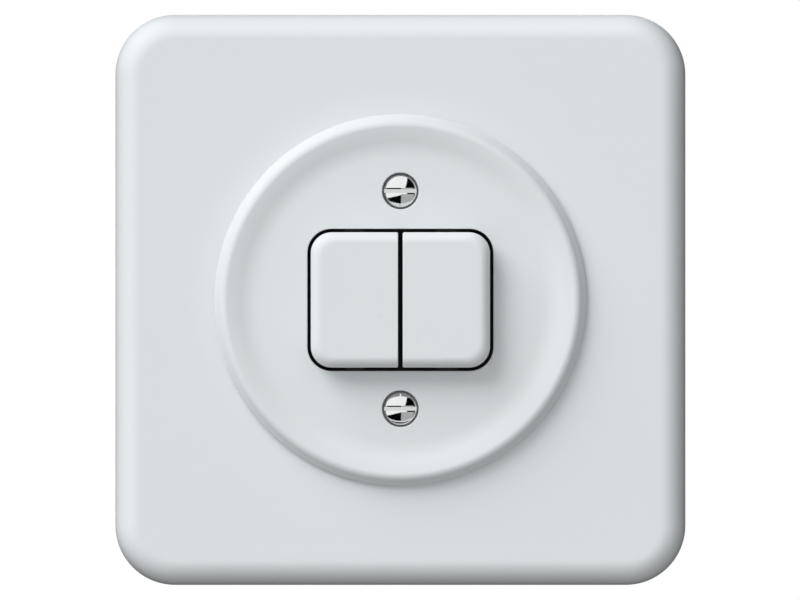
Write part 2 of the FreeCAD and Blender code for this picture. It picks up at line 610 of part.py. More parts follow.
for sign in ("-", ""):
    draw_box(sk, "%sunit_x - stem_w / 2 - stem_play" % sign, "%sunit_x + stem_w / 2 + stem_play" % sign,
             "-stem_h / 2 - stem_play", "stem_h / 2 + stem_play")
pocket(body, sk, "lid_rise + lid_thick + sleeve_depth")
sk = new_sketch(body, "lid_holes", "front", "lid_rise")
for sign in ("-", ""):
    draw_circle(sk, "%srivet_pitch / 2" % sign, "0", "rivet_dia + 2 * fit_play")
    draw_circle(sk, "0", "%scover_pitch / 2" % sign, "tip_hole_dia")
pocket(body, sk, "lid_rise + lid_thick")
done(body)

# Base: two cavities with ribs, cable entries, screw access holes and open seats for the rocker axle
body = new_body("base")
sk = new_sketch(body, "base_outline", "front", "-base_depth")
draw_shell(sk)
pad(body, sk, "base_depth - lid_thick")
fillet(body, "shell_round", upright)
fillet(body, "base_round", lambda b: near(b.YMin, value("base_depth")) and near(b.YMax, b.YMin))
sk = new_sketch(body, "cavities", "front", "-lid_thick")
draw_box(sk, "middle_wall / 2", "cavity_out", "-cavity_half", "cavity_half")
draw_box(sk, "-cavity_out", "-middle_wall / 2", "-cavity_half", "cavity_half")
pocket(body, sk, "floor_depth - lid_thick")
sk = new_sketch(body, "cross_ribs", "front", "-lid_thick")
for sign in ("-", ""):
    for side in (1, -1):
        draw_box(sk, "%d * (middle_wall / 2 - rib_root)" % side,
                 "%d * (cavity_out + rib_root)" % side,
                 "%srib_at - rib_thick / 2" % sign, "%srib_at + rib_thick / 2" % sign)
pad(body, sk, "floor_depth - lid_thick - rib_clear", reverse=True)
sk = new_sketch(body, "block_walls", "front", "-lid_thick")
for side in (1, -1):
    middle = "%d * (inner_block + outer_block) / 2" % side
    draw_box(sk, middle + " - rib_thick / 2", middle + " + rib_thick / 2",
             "rib_at + rib_thick / 2 - rib_root", "cavity_half + rib_root")
pad(body, sk, "floor_depth - lid_thick + rib_root", reverse=True)
sk = new_sketch(body, "side_pockets", "front", "-lid_thick")
for sx in (1, -1):
    for sz in (1, -1):
        inside = "%d * (cavity_out + relief_in)" % sx
        outside = "%d * (cavity_out + relief_in + relief_w)" % sx
        draw_box(sk, inside, outside, "%d * relief_low" % sz, "%d * relief_high" % sz)
pocket(body, sk, "floor_depth - lid_thick")
sk = new_sketch(body, "axle_slot", "front", "-lid_thick")
draw_box(sk, "-axle_span / 2 - axle_end_play", "axle_span / 2 + axle_end_play",
         "-axle_dia / 2 - fit_play", "axle_dia / 2 + fit_play")
pocket(body, sk, "axle_depth - lid_thick")
sk = new_sketch(body, "axle_seat", "side")
draw_circle(sk, "axle_depth", "0", "axle_dia + 2 * fit_play")
pocket(body, sk, "axle_span + 2 * axle_end_play", both=True)
sk = new_sketch(body, "base_rivet_holes", "front", "-lid_thick")
for sign in ("-", ""):
    draw_circle(sk, "%srivet_pitch / 2" % sign, "0", "rivet_dia + 2 * fit_play")
pocket(body, sk, "base_depth")
sk = new_sketch(body, "wire_entries", "front", "-base_depth")
for side in (1, -1):
    draw_circle(sk, "%d * inner_block" % side, "wire_at", "entry_dia")
    draw_circle(sk, "%d * outer_block" % side, "wire_at", "entry_dia")
    draw_circle(sk, "%d * unit_x" % side, "-wire_at", "entry_dia")
pocket(body, sk, "base_floor", reverse=True)
sk = new_sketch(body, "upper_access", "top", "shell_h / 2")
for side in (1, -1):
    draw_circle(sk, "%d * inner_block" % side, "clamp_depth", "access_dia")
    draw_circle(sk, "%d * outer_block" % side, "clamp_depth", "access_dia")
pocket(body, sk, "side_wall")
sk = new_sketch(body, "lower_access", "top", "-shell_h / 2")
for side in (1, -1):
    draw_circle(sk, "%d * unit_x" % side, "clamp_depth", "access_dia")
pocket(body, sk, "side_wall", reverse=True)
done(body)

# Tubular rivets through support plate, inner cover and base
for label, sign in (("left_rivet", "-"), ("right_rivet", "")):
    body = new_body(label)
    sk = new_sketch(body, "rivet_section", "top")
    draw_outline(sk, [
        ("rivet_core / 2", "-support_thick - rivet_rim"),
        ("rivet_head / 2", "-support_thick - rivet_rim"),
        ("rivet_head / 2", "-support_thick"),
        ("rivet_dia / 2", "-support_thick"),
        ("rivet_dia / 2", "base_depth"),
        ("rivet_head / 2", "base_depth"),
        ("rivet_head / 2", "base_depth + rivet_rim"),
        ("rivet_core / 2", "base_depth + rivet_rim"),
    ])
    turned(body, "Revolution", sk)
    place(body, "%srivet_pitch / 2" % sign)
    done(body)

# Rocker axle, shared by both switch units
body = new_body("rocker_axle")
sk = new_sketch(body, "axle_round", "side")
draw_circle(sk, "axle_depth", "0", "axle_dia")
pad(body, sk, "axle_span", both=True)
done(body)


def make_unit(side, tag):
    """One switch unit; side is 1 on the right and -1 on the left."""
    mid = "%d * unit_x" % side

    def x_at(text):
        return "%d * (%s)" % (side, text)

    # Button: hollow cap with a skirt, two retaining lugs and a forked stem
    body = new_body(tag + "_button")
    near_x = "button_gap / 2"
    far_x = "button_gap / 2 + button_w"
    bend = "button_corner"
    sk = new_sketch(body, "button_outline", "front", "button_top")
    draw_outline(sk, [
        (x_at(near_x), "-button_h / 2"),
        (x_at(far_x + " - button_corner"), "-button_h / 2", bend, side),
        (x_at(far_x), "-button_h / 2 + button_corner"),
        (x_at(far_x), "button_h / 2 - button_corner", bend, side),
        (x_at(far_x + " - button_corner"), "button_h / 2"),
        (x_at(near_x), "button_h / 2"),
    ])
    pad(body, sk, "button_depth", reverse=True)
    top = -value("button_top")
    near_mm = value(near_x)
    fillet(body, "button_round", lambda b: near(b.YMin, top) and near(b.YMax, top)
           and max(abs(b.XMin), abs(b.XMax)) > near_mm + 0.01)
    fillet(body, "button_edge", lambda b: near(b.YMin, top) and near(b.YMax, top)
           and near(max(abs(b.XMin), abs(b.XMax)), near_mm))
    sk = new_sketch(body, "button_hollow", "front", "button_top - button_depth")
    draw_box(sk, x_at(near_x + " + button_wall"), x_at(far_x + " - button_wall"),
             "-button_h / 2 + button_wall", "button_h / 2 - button_wall")
    pocket(body, sk, "button_depth - button_wall", reverse=True)
    sk = new_sketch(body, "stem", "front", "-stem_end")
    draw_box(sk, mid + " - stem_w / 2", mid + " + stem_w / 2", "-stem_h / 2", "stem_h / 2")
    pad(body, sk, "stem_end + button_under + button_wall / 2")
    sk = new_sketch(body, "lugs", "front", "button_top - button_depth")
    for sign in ("-", ""):
        edge = "%sbutton_h / 2" % sign
        tip = "%s(button_h / 2 + lug_reach)" % sign
        root = "%s(button_h / 2 - button_wall / 2)" % sign
        draw_box(sk, mid + " - lug_width / 2", mid + " + lug_width / 2", root, tip)
    pad(body, sk, "lug_thick")
    sk = new_sketch(body, "fork", "front", "-stem_end")
    draw_box(sk, mid + " - fork_gap / 2", mid + " + fork_gap / 2", "-stem_h", "stem_h")
    pocket(body, sk, "fork_depth", reverse=True)
    sk = new_sketch(body, "pin_hole", "side", mid)
    draw_circle(sk, "pawl_pivot", "0", "pawl_pin_dia + 2 * fit_play")
    pocket(body, sk, "2 * stem_w", both=True)
    done(body)

    # Return spring between the button and the inner cover
    body = new_body(tag + "_return_spring")
    sk = new_sketch(body, "wire_section", "top")
    draw_box(sk, "spring_dia / 2 - spring_wire / 2", "spring_dia / 2 + spring_wire / 2", "0", "spring_wire")
    coil = body.newObject("PartDesign::AdditiveHelix", "coil")
    coil.Profile = sk
    coil.ReferenceAxis = (sk, ["V_Axis"])
    coil.Mode = "height-turns-angle"
    coil.setExpression("Height", linked("button_under - spring_seat - spring_wire - 2 * spring_play"))
    coil.setExpression("Turns", linked("spring_turns"))
    sk.Visibility = False
    place(body, mid, "-button_under + spring_play")
    done(body)

    # Pawl and its pin: the driving finger that swings in the fork of the stem
    body = new_body(tag + "_pawl")
    sk = new_sketch(body, "pawl_eye_round", "side")
    draw_circle(sk, "0", "0", "pawl_eye")
    pad(body, sk, "pawl_thick", both=True)
    sk = new_sketch(body, "pawl_finger", "side")
    draw_outline(sk, [("0", "-pawl_root / 2"), ("pawl_length", "-pawl_tip / 2"),
                      ("pawl_length", "pawl_tip / 2"), ("0", "pawl_root / 2")])
    pad(body, sk, "pawl_thick", both=True)
    sk = new_sketch(body, "pawl_end", "side")
    draw_circle(sk, "pawl_length", "0", "pawl_tip")
    pad(body, sk, "pawl_thick", both=True)
    sk = new_sketch(body, "pawl_bore", "side")
    draw_circle(sk, "0", "0", "pawl_pin_dia + 2 * run_play")
    pocket(body, sk, "2 * pawl_thick", both=True)
    place(body, mid, "pawl_pivot", "0", "pawl_lean")
    done(body)
    body = new_body(tag + "_pawl_pin")
    sk = new_sketch(body, "pin_round", "side", mid)
    draw_circle(sk, "pawl_pivot", "0", "pawl_pin_dia")
    pad(body, sk, "stem_w - 2 * pin_inset", both=True)
    done(body)

    # Rocker with a ridge between two notches, and the plunger with its spring in the foot
    body = new_body(tag + "_rocker")
    sk = new_sketch(body, "rocker_profile", "side")
    draw_outline(sk, [
        ("-rocker_ridge", "0"),
        ("-rocker_notch", "-notch_near"),
        ("-rocker_notch", "-notch_far"),
        ("-rocker_notch - horn_rise", "-rocker_arm + horn_in"),
        ("-rocker_notch", "-rocker_arm"),
        ("arm_under", "-rocker_arm + arm_taper"),
        ("rocker_foot", "-foot_half"),
        ("rocker_foot", "foot_half"),
        ("arm_under", "rocker_arm - arm_taper"),
        ("-rocker_notch", "rocker_arm"),
        ("-rocker_notch - horn_rise", "rocker_arm - horn_in"),
        ("-rocker_notch", "notch_far"),
        ("-rocker_notch", "notch_near"),
    ])
    pad(body, sk, "rocker_w", both=True)
    sk = new_sketch(body, "rocker_bore", "side")
    draw_circle(sk, "0", "0", "axle_dia + 2 * run_play")
    pocket(body, sk, "2 * rocker_w", both=True)
    sk = new_sketch(body, "plunger_bore", "front", "-rocker_foot")
    draw_circle(sk, "0", "0", "plunger_dia + 2 * run_play")
    pocket(body, sk, "rocker_foot - bore_end", reverse=True)
    place(body, mid, "axle_depth", "0", "rocker_tilt")
    done(body)
    body = new_body(tag + "_snap_plunger")
    nose = "((plunger_dia / 2) ^ 2 + nose_rise ^ 2) / (2 * nose_rise)"
    sk = new_sketch(body, "plunger_section", "top")
    draw_outline(sk, [
        ("0", "plunger_back"),
        ("plunger_dia / 2", "plunger_back"),
        ("plunger_dia / 2", "plunger_reach - nose_rise", nose, 1),
        ("0", "plunger_reach"),
    ])
    turned(body, "Revolution", sk)
    place(body, mid, "axle_depth", "0", "rocker_tilt")
    done(body)
    body = new_body(tag + "_plunger_spring")
    sk = new_sketch(body, "coil_section", "top")
    draw_box(sk, "coil_dia / 2 - coil_wire / 2", "coil_dia / 2 + coil_wire / 2",
             "bore_end + fit_play", "bore_end + fit_play + coil_wire")
    coil = body.newObject("PartDesign::AdditiveHelix", "coil")
    coil.Profile = sk
    coil.ReferenceAxis = (sk, ["V_Axis"])
    coil.Mode = "height-turns-angle"
    coil.setExpression("Height", linked("plunger_back - bore_end - coil_wire - 2 * fit_play"))
    coil.setExpression("Turns", linked("coil_turns"))
    sk.Visibility = False
    place(body, mid, "axle_depth", "0", "rocker_tilt")
    done(body)

    # Contact lever: a strip that tips on the knife edge, with a domed contact at each end
    body = new_body(tag + "_contact_lever")
    sk = new_sketch(body, "lever_profile", "side")
    draw_outline(sk, [
        ("-lever_front", "-lever_half"),
        ("lever_back", "-lever_half"),
        ("lever_back", "-groove_half"),
        ("0", "0"),
        ("lever_back", "groove_half"),
        ("lever_back", "lever_half"),
        ("-lever_front", "lever_half"),
    ])
    pad(body, sk, "lever_w", both=True)
    sk = new_sketch(body, "lever_holes", "front", "lever_front")
    for sign in ("-", ""):
        draw_circle(sk, "0", "%scontact_at" % sign, "rivet_shank + 2 * fit_play")
    pocket(body, sk, "lever_front + lever_back")
    place(body, mid, "lever_pivot", "0", "-lever_tilt")
    done(body)
    for word, sign in (("upper", ""), ("lower", "-")):
        body = new_body("%s_%s_moving_contact" % (tag, word))
        dome = "((contact_dia / 2) ^ 2 + contact_dome ^ 2) / (2 * contact_dome)"
        sk = new_sketch(body, "contact_section", "top", "%scontact_at" % sign)
        draw_outline(sk, [
            ("0", "-lever_front"),
            ("rivet_shank / 2", "-lever_front"),
            ("rivet_shank / 2", "lever_back"),
            ("contact_dia / 2", "lever_back"),
            ("contact_dia / 2", "lever_back + contact_rise - contact_dome", dome, 1),
            ("0", "lever_back + contact_rise"),
        ])
        turned(body, "Revolution", sk)
        place(body, mid, "lever_pivot", "0", "-lever_tilt")
        done(body)

    # Depth of the lowest point of the closed dome, where the fixed contact starts
    dome_at = "(lever_back + contact_rise - ((contact_dia / 2) ^ 2 + contact_dome ^ 2) / (2 * contact_dome))"
    touch = ("(lever_pivot + %s * cos(lever_tilt) + contact_at * sin(lever_tilt)"
             " + ((contact_dia / 2) ^ 2 + contact_dome ^ 2) / (2 * contact_dome) + contact_gap)" % dome_at)
    touch_z = "(contact_at * cos(lever_tilt) - %s * sin(lever_tilt))" % dome_at
    pad_half = "(lever_w / 2 + strip_edge)"
    for word, sign in (("upper", ""), ("lower", "-")):
        body = new_body("%s_%s_fixed_contact" % (tag, word))
        sk = new_sketch(body, "fixed_section", "top", sign + touch_z)
        draw_outline(sk, [
            ("0", touch),
            ("contact_dia / 2", touch),
            ("contact_dia / 2", "pad_depth"),
            ("rivet_shank / 2", "pad_depth"),
            ("rivet_shank / 2", "floor_depth"),
            ("0", "floor_depth"),
        ])
        turned(body, "Revolution", sk)
        place(body, mid)
        done(body)

    # Terminals: flat strip, block with a wire hole, and a tapped hole for the clamping screw
    common_strip = [
        (x_at("inner_block - block_w / 2"), "block_low + strip_under"),
        (x_at("inner_block - block_w / 2"), "-knife_half"),
        (x_at("unit_x + " + pad_half), "-knife_half"),
        (x_at("unit_x + " + pad_half), "knife_half"),
        (x_at("inner_block - block_w / 2 + strip_w"), "knife_half"),
        (x_at("inner_block - block_w / 2 + strip_w"), "block_low + strip_under"),
    ]
    upper_strip = [
        (x_at("unit_x - " + pad_half), "contact_at - contact_dia / 2 - strip_gap"),
        (x_at("outer_block - block_w / 2 + strip_set + strip_w"), "contact_at - contact_dia / 2 - strip_gap"),
        (x_at("outer_block - block_w / 2 + strip_set + strip_w"), "block_low + strip_under"),
        (x_at("outer_block - block_w / 2 + strip_set"), "block_low + strip_under"),
        (x_at("outer_block - block_w / 2 + strip_set"), "contact_at + contact_dia / 2 + strip_margin"),
        (x_at("unit_x - " + pad_half), "contact_at + contact_dia / 2 + strip_margin"),
    ]
    lower_strip = [
        (x_at("unit_x - " + pad_half), "-contact_at + contact_dia / 2 + strip_gap"),
        (x_at("unit_x + " + pad_half), "-contact_at + contact_dia / 2 + strip_gap"),
        (x_at("unit_x + " + pad_half), "-block_low - strip_under"),
        (x_at("unit_x - " + pad_half), "-block_low - strip_under"),
    ]
    for word, strip, block, sign in (("common_terminal", common_strip, "inner_block", ""),
                                     ("upper_terminal", upper_strip, "outer_block", ""),
                                     ("lower_terminal", lower_strip, "unit_x", "-")):
        body = new_body("%s_%s" % (tag, word))
        sk = new_sketch(body, "strip_outline", "front", "-floor_depth")
        draw_outline(sk, strip)
        pad(body, sk, "strip_thick")
        sk = new_sketch(body, "block_outline", "front", "-floor_depth")
        draw_box(sk, x_at(block) + " - block_w / 2", x_at(block) + " + block_w / 2",
                 "%sblock_low" % sign, "%sblock_high" % sign)
        pad(body, sk, "block_depth")
        if word == "common_terminal":
            sk = new_sketch(body, "knife_edge", "side", mid)
            draw_outline(sk, [
                ("pad_depth + strip_thick / 2", "-knife_root"),
                ("pad_depth + strip_thick / 2", "knife_root"),
                ("lever_pivot + knife_play", "knife_tip"),
                ("lever_pivot + knife_play", "-knife_tip"),
            ])
            pad(body, sk, "lever_w - 2 * knife_inset", both=True)
        else:
            sk = new_sketch(body, "contact_hole", "front", "-pad_depth")
            draw_circle(sk, mid, sign + touch_z, "rivet_shank + 2 * fit_play")
            pocket(body, sk, "strip_thick")
        sk = new_sketch(body, "wire_hole", "front", "-floor_depth")
        draw_circle(sk, x_at(block), "%swire_at" % sign, "wire_dia")
        pocket(body, sk, "wire_depth", reverse=True)
        sk = new_sketch(body, "tapped_hole", "top", "%sblock_high" % sign)
        draw_circle(sk, x_at(block), "clamp_depth", "clamp_dia + 2 * fit_play")
        pocket(body, sk, "block_high - wire_at", reverse=(sign == "-"))
        done(body)
        body = new_body("%s_%s_screw" % (tag, word))
        sk = new_sketch(body, "clamp_section", "front")
        draw_outline(sk, [
            ("0", "clamp_rise"),
            ("clamp_head / 2", "clamp_rise"),
            ("clamp_head / 2", "0"),
            ("clamp_dia / 2", "0"),
            ("clamp_dia / 2", "-clamp_length"),
            ("0", "-clamp_length"),
        ])
        turned(body, "Revolution", sk)
        sk = new_sketch(body, "clamp_slot_cut", "top", "clamp_rise")
        draw_box(sk, "-clamp_head", "clamp_head", "-clamp_slot / 2", "clamp_slot / 2")
        pocket(body, sk, "clamp_slot")
        if sign:
            place(body, x_at(block), "clamp_depth", "-block_high - clamp_play", "180", (0, 1, 0))
        else:
            place(body, x_at(block), "clamp_depth", "block_high + clamp_play")
        done(body)


make_unit(-1, "left")
make_unit(1, "right")
doc.recompute()

# Every object must be sound before a file is written
faults = [o.Label for o in doc.Objects if "Invalid" in o.State or "Error" in o.State]
if faults:
    raise RuntimeError("objects with errors: " + ", ".join(faults))
for piece in PIECES:
    shape = piece.Shape
    if shape.isNull() or not shape.isValid() or len(shape.Solids) != 1:
        raise RuntimeError("unsound shape: " + piece.Label)
os.makedirs("parts", exist_ok=True)
for piece in PIECES:
    piece.Shape.exportStep("parts/%s.step" % piece.Label)
    box = piece.Shape.BoundBox
    print("%-34s %7.2f %7.2f | %7.2f %7.2f | %7.2f %7.2f" % (
        piece.Label, box.XMin, box.XMax, box.YMin, box.YMax, box.ZMin, box.ZMax))
print(len(PIECES), "pieces")
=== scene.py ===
# %% [markdown]
# # A twin push button light switch
# A square white plate carries a round dished disc. Two slotted screws hold the disc, and two white buttons
# stand in a window in its middle. Behind the wall plane sit a steel support plate and a moulded insert with
# the contacts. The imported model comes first, because every piece below is placed and sized from it.

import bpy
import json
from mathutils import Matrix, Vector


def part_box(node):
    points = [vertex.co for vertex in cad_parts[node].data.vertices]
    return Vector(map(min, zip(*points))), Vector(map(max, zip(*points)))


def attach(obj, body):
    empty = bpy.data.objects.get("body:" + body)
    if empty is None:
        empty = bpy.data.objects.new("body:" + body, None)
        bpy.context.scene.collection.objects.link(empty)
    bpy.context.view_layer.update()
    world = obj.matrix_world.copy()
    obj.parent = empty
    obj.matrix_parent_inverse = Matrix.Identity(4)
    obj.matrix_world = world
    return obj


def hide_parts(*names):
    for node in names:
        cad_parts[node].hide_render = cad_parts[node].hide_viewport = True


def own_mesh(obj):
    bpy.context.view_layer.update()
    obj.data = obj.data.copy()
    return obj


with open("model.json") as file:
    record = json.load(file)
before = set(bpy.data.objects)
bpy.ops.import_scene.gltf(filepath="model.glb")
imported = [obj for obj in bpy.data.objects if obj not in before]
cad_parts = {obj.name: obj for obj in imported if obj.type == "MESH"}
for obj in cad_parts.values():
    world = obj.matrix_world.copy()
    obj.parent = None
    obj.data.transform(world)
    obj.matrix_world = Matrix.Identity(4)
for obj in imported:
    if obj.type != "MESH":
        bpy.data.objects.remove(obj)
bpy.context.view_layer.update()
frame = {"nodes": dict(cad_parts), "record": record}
print("nodes in the frame:", len(frame["nodes"]))

# %% Modules and units
import json
import math

import bmesh
import bpy
from mathutils import Vector

MM = 0.001
FRONT = Vector((0, -1, 0))
HOLD = 0.15 * MM
print("lengths are in metres, the front points to", tuple(FRONT))

# %% [markdown]
# ## The camera
# The photograph is a product picture taken straight on, with almost no perspective: the front of the buttons
# isn't larger than the plate behind them. A very long lens gives that look. Its distance follows from one
# number, the width of the plate in the 800 pixel wide frame, and the small offsets centre the plate as there.

# %% Camera
plate_low, plate_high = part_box("cover_plate")
PLATE_HALF = plate_high[0]
PLATE_FACE = -plate_low[1]
PLATE_EDGE = 3.7 * MM
FRAME_PIXELS = 800
PLATE_PIXELS = 570
PLATE_RIGHT_OF_MIDDLE = 0.4
PLATE_ABOVE_MIDDLE = 0.1
LENS = 800
SENSOR = 36

pixel = 2 * PLATE_HALF / PLATE_PIXELS
camera_data = bpy.data.cameras.new("camera")
camera_data.lens = LENS
camera_data.sensor_width = SENSOR
camera_data.clip_end = 50
camera = bpy.data.objects.new("camera", camera_data)
bpy.context.scene.collection.objects.link(camera)
bpy.context.scene.camera = camera
distance = LENS / SENSOR * FRAME_PIXELS * pixel
camera.location = (-PLATE_RIGHT_OF_MIDDLE * pixel, -(PLATE_FACE - PLATE_EDGE) - distance,
                   -PLATE_ABOVE_MIDDLE * pixel)
camera.rotation_euler = (math.radians(90), 0, 0)
print("camera distance", round(distance, 3), "m")

# %% [markdown]
# ## Loops and skins
# Every moulded piece here is a stack of closed loops: a round loop for the disc, a rounded box for the plate,
# the window and the buttons. A mesh built from matching loops has clean rows of faces, so light runs evenly
# over its edges. A boolean would be shorter to write, but leaves ragged faces where the edges are roundest.
# Beside a rounded edge runs one more loop, HOLD away on the flat side, so that the flat is shaded as flat.

# %% Loops
ROUND_POINTS = 256
SMALL_POINTS = 96


def circle(radius, front, middle=(0, 0), points=ROUND_POINTS):
    """Points of a circle at a front height, that is, at a distance from the wall."""
    turn = 2 * math.pi / points
    return [(middle[0] + radius * math.cos(turn * n), -front, middle[1] + radius * math.sin(turn * n))
            for n in range(points)]


def round_box(x, z, corners, front, arc_steps=12, side_steps=6):
    """A box between x[0], x[1] and z[0], z[1], with four corner radii that start at the upper right."""
    signs = ((1, 1), (0, 1), (0, 0), (1, 0))
    points = []
    for number, (right, up) in enumerate(signs):
        radius = corners[number]
        middle_x = x[right] + (radius if right == 0 else -radius)
        middle_z = z[up] + (radius if up == 0 else -radius)
        for step in range(arc_steps + 1):
            angle = math.radians(90) * (number + step / arc_steps)
            points.append((middle_x + radius * math.cos(angle), middle_z + radius * math.sin(angle)))
        following, (right, up) = corners[(number + 1) % 4], signs[(number + 1) % 4]
        angle = math.radians(90) * (number + 1)
        middle_x = x[right] + (following if right == 0 else -following)
        middle_z = z[up] + (following if up == 0 else -following)
        goal = (middle_x + following * math.cos(angle), middle_z + following * math.sin(angle))
        start = points[-1]
        for step in range(1, side_steps):
            share = step / side_steps
            points.append((start[0] + (goal[0] - start[0]) * share, start[1] + (goal[1] - start[1]) * share))
    return [(px, -front, pz) for px, pz in points]


def square(half, corner, front):
    """A square with four equal corner radii, round the middle of the plate."""
    return round_box((-half, half), (-half, half), [corner] * 4, front, arc_steps=20, side_steps=16)


def arc(middle_r, middle_f, radius, first, last, steps):
    """Points (r, front) of an arc in a section, with its angles in degrees."""
    angles = [math.radians(first + (last - first) * n / steps) for n in range(steps + 1)]
    return [(middle_r + radius * math.cos(a), middle_f + radius * math.sin(a)) for a in angles]


def quarter(radius, steps=4):
    """Pairs (inset, drop) round a quarter circle, from the face to the wall below it."""
    angles = [math.radians(90) * step / steps for step in range(steps + 1)]
    return [(radius * (1 - math.sin(a)), radius * (1 - math.cos(a))) for a in angles]


print("points in a square loop", len(square(PLATE_HALF, 0, 0)))

# %% [markdown]
# Two loops with as many points are joined by a row of four sided faces. A flat area with holes in it, such as
# the floor of the dish, is filled between its border loops with Blender's triangle fill. A small class isn't
# needed for this: three short functions do it, and a fourth turns the result into a piece of the switch.

# %% Skins


def skin(bm, loops, closed=False):
    """Joins loops of points by rows of faces and returns their vertices, loop by loop."""
    rows = [[bm.verts.new(point) for point in loop] for loop in loops]
    pairs = list(zip(rows, rows[1:]))
    if closed:
        pairs.append((rows[-1], rows[0]))
    for near, far in pairs:
        for n in range(len(near)):
            m = (n + 1) % len(near)
            bm.faces.new((near[n], near[m], far[m], far[n]))
    return rows


def fill(bm, *rows):
    """Fills the flat area between a border and the holes in it."""
    edges = []
    for row in rows:
        for a, b in zip(row, row[1:] + row[:1]):
            edges.append(bm.edges.get((a, b)) or bm.edges.new((a, b)))
    bmesh.ops.triangle_fill(bm, use_beauty=True, use_dissolve=False, edges=edges)


def block(bm, low, high):
    """A closed box between two corners, for ribs, posts and stems."""
    points = [(x, y, z) for x in (low[0], high[0]) for y in (low[1], high[1]) for z in (low[2], high[2])]
    v = [bm.verts.new(point) for point in points]
    for side in ((0, 1, 3, 2), (4, 6, 7, 5), (0, 4, 5, 1), (2, 3, 7, 6), (0, 2, 6, 4), (1, 5, 7, 3)):
        bm.faces.new([v[n] for n in side])


def make_piece(bm, name, node, body, sharp=30, place=(0, 0, 0)):
    """Turns a mesh into a piece that rides on a body and, where a node is named, stands for it."""
    bmesh.ops.recalc_face_normals(bm, faces=bm.faces)
    bmesh.ops.translate(bm, verts=bm.verts, vec=-Vector(place))
    mesh = bpy.data.meshes.new(name)
    bm.to_mesh(mesh)
    bm.free()
    mesh.shade_smooth()
    mesh.set_sharp_from_angle(angle=math.radians(sharp))
    piece = bpy.data.objects.new(name, mesh)
    piece.location = place
    bpy.context.scene.collection.objects.link(piece)
    even = piece.modifiers.new("even_normals", "WEIGHTED_NORMAL")
    even.keep_sharp = True
    even.weight = 100
    bpy.context.view_layer.update()
    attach(piece, body)
    if node:
        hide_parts(node)
    print(name, len(mesh.polygons), "faces")
    return piece


print("skin, fill, block and make_piece ready")

# %% [markdown]
# ## The cover plate
# The real plate is one moulding, 86 mm square, open at the back, with a quarter round edge, a large round
# opening and a collar that meets the steel behind it. Its section is followed once round from the rim on the
# wall, over the edge and the face, down the opening and back along the hollow, so the shell closes on itself.
# On the face the loops turn from square to round, and a ring well out from the opening keeps that turn away
# from the edge. The outer edge climbs from the wall to the face, so its quarter is read the other way round.

# %% Cover plate
PLATE_CORNER = 9 * MM
PLATE_WALL = 2.2 * MM
PLATE_FOOT = 0.2 * MM
EDGE_STEPS = 24
OPENING = 25.5 * MM
OPENING_EDGE = 0.3 * MM
FACE_RING = 6 * MM
COLLAR_WALL = 1.4 * MM
SUPPORT_FACE = 1.2 * MM
POST_PITCH = 62 * MM
POST_HALF = 2 * MM


def plate_loop(inset, front):
    return square(PLATE_HALF - inset, PLATE_CORNER - inset, front)


def round_under(loop, radius, front):
    """A circle whose points lie on the same spokes as the points of another loop."""
    spokes = [math.atan2(z, x) for x, y, z in loop]
    return [(radius * math.cos(a), -front, radius * math.sin(a)) for a in spokes]


def make_plate():
    bm = bmesh.new()
    ceiling = PLATE_FACE - PLATE_WALL
    loops = [plate_loop(PLATE_WALL, 0)]
    loops += [plate_loop(inset, rise) for inset, rise in quarter(PLATE_FOOT)]
    loops += [plate_loop(inset, PLATE_FACE - drop) for drop, inset in quarter(PLATE_EDGE, EDGE_STEPS)]
    loops.append(plate_loop(PLATE_EDGE + HOLD, PLATE_FACE))
    spokes = loops[-1]
    turned = [(FACE_RING, PLATE_FACE), (OPENING_EDGE + HOLD, PLATE_FACE)]
    turned += [(outset, PLATE_FACE - drop) for outset, drop in quarter(OPENING_EDGE)]
    turned += [(0, SUPPORT_FACE), (COLLAR_WALL, SUPPORT_FACE), (COLLAR_WALL, ceiling)]
    loops += [round_under(spokes, OPENING + outset, front) for outset, front in turned]
    loops.append(plate_loop(PLATE_WALL, ceiling))
    skin(bm, loops, closed=True)
    into = PLATE_WALL / 10
    for x in (-POST_PITCH / 2, POST_PITCH / 2):
        for z in (-POST_PITCH / 2, POST_PITCH / 2):
            block(bm, (x - POST_HALF, -ceiling - into, z - POST_HALF),
                  (x + POST_HALF, -SUPPORT_FACE, z + POST_HALF))
    return make_piece(bm, "moulded_plate", "cover_plate", "switch_body")


plate = make_plate()

# %% [markdown]
# ## The dished disc
# The disc is turned in section: a small foot on the plate, a sloped band, a fine groove that draws a thin
# double line round the edge, a rolled rim, and a slope of about sixteen degrees that eases into a flat floor.
# The floor can't be turned, because the window and the two screw recesses break it, so it is filled between
# its borders.

# %% Sizes of the disc
disc_low, disc_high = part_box("centre_disc")
DISC_RADIUS = disc_high[0]
CREST = -disc_low[1]
RIM_ROUND = 1.25 * MM
BAND_WIDTH = 0.72 * MM
BAND_ANGLE = 52
RIM_FOOT = 0.03 * MM
RIM_TIGHT = 0.2 * MM
RIM_GROOVE = 0.07 * MM
GROOVE_FOOT = 2.2 * RIM_GROOVE
GROOVE_LIP = 1.4 * RIM_GROOVE
CREST_TURN = 10
SLOPE_ROUND = 20 * MM
DISH_ANGLE = 16
FLOOR = CREST - 0.855 * MM
DISC_SKIN = 2 * MM
UNDER = FLOOR - DISC_SKIN
RING_INSIDE = 23.9 * MM
RING_OUTSIDE = 25.3 * MM
RING_DEPTH = 2 * MM
WINDOW_X = 14 * MM
WINDOW_Z = 10.7 * MM
WINDOW_CORNER = 3.6 * MM
WINDOW_EDGE = 0.12 * MM
GUIDE_WALL = 1.2 * MM
GUIDE_DEPTH = 1.5 * MM
SCREW_Z = 16.4 * MM
RECESS = 2.75 * MM
RECESS_EDGE = 0.12 * MM
RECESS_DEPTH = 2.1 * MM
SCREW_HOLE = 1.6 * MM
PILLAR = 4 * MM
PILLAR_END = 3.2 * MM
print("crest of the rim", round(CREST / MM, 2), "mm from the wall")

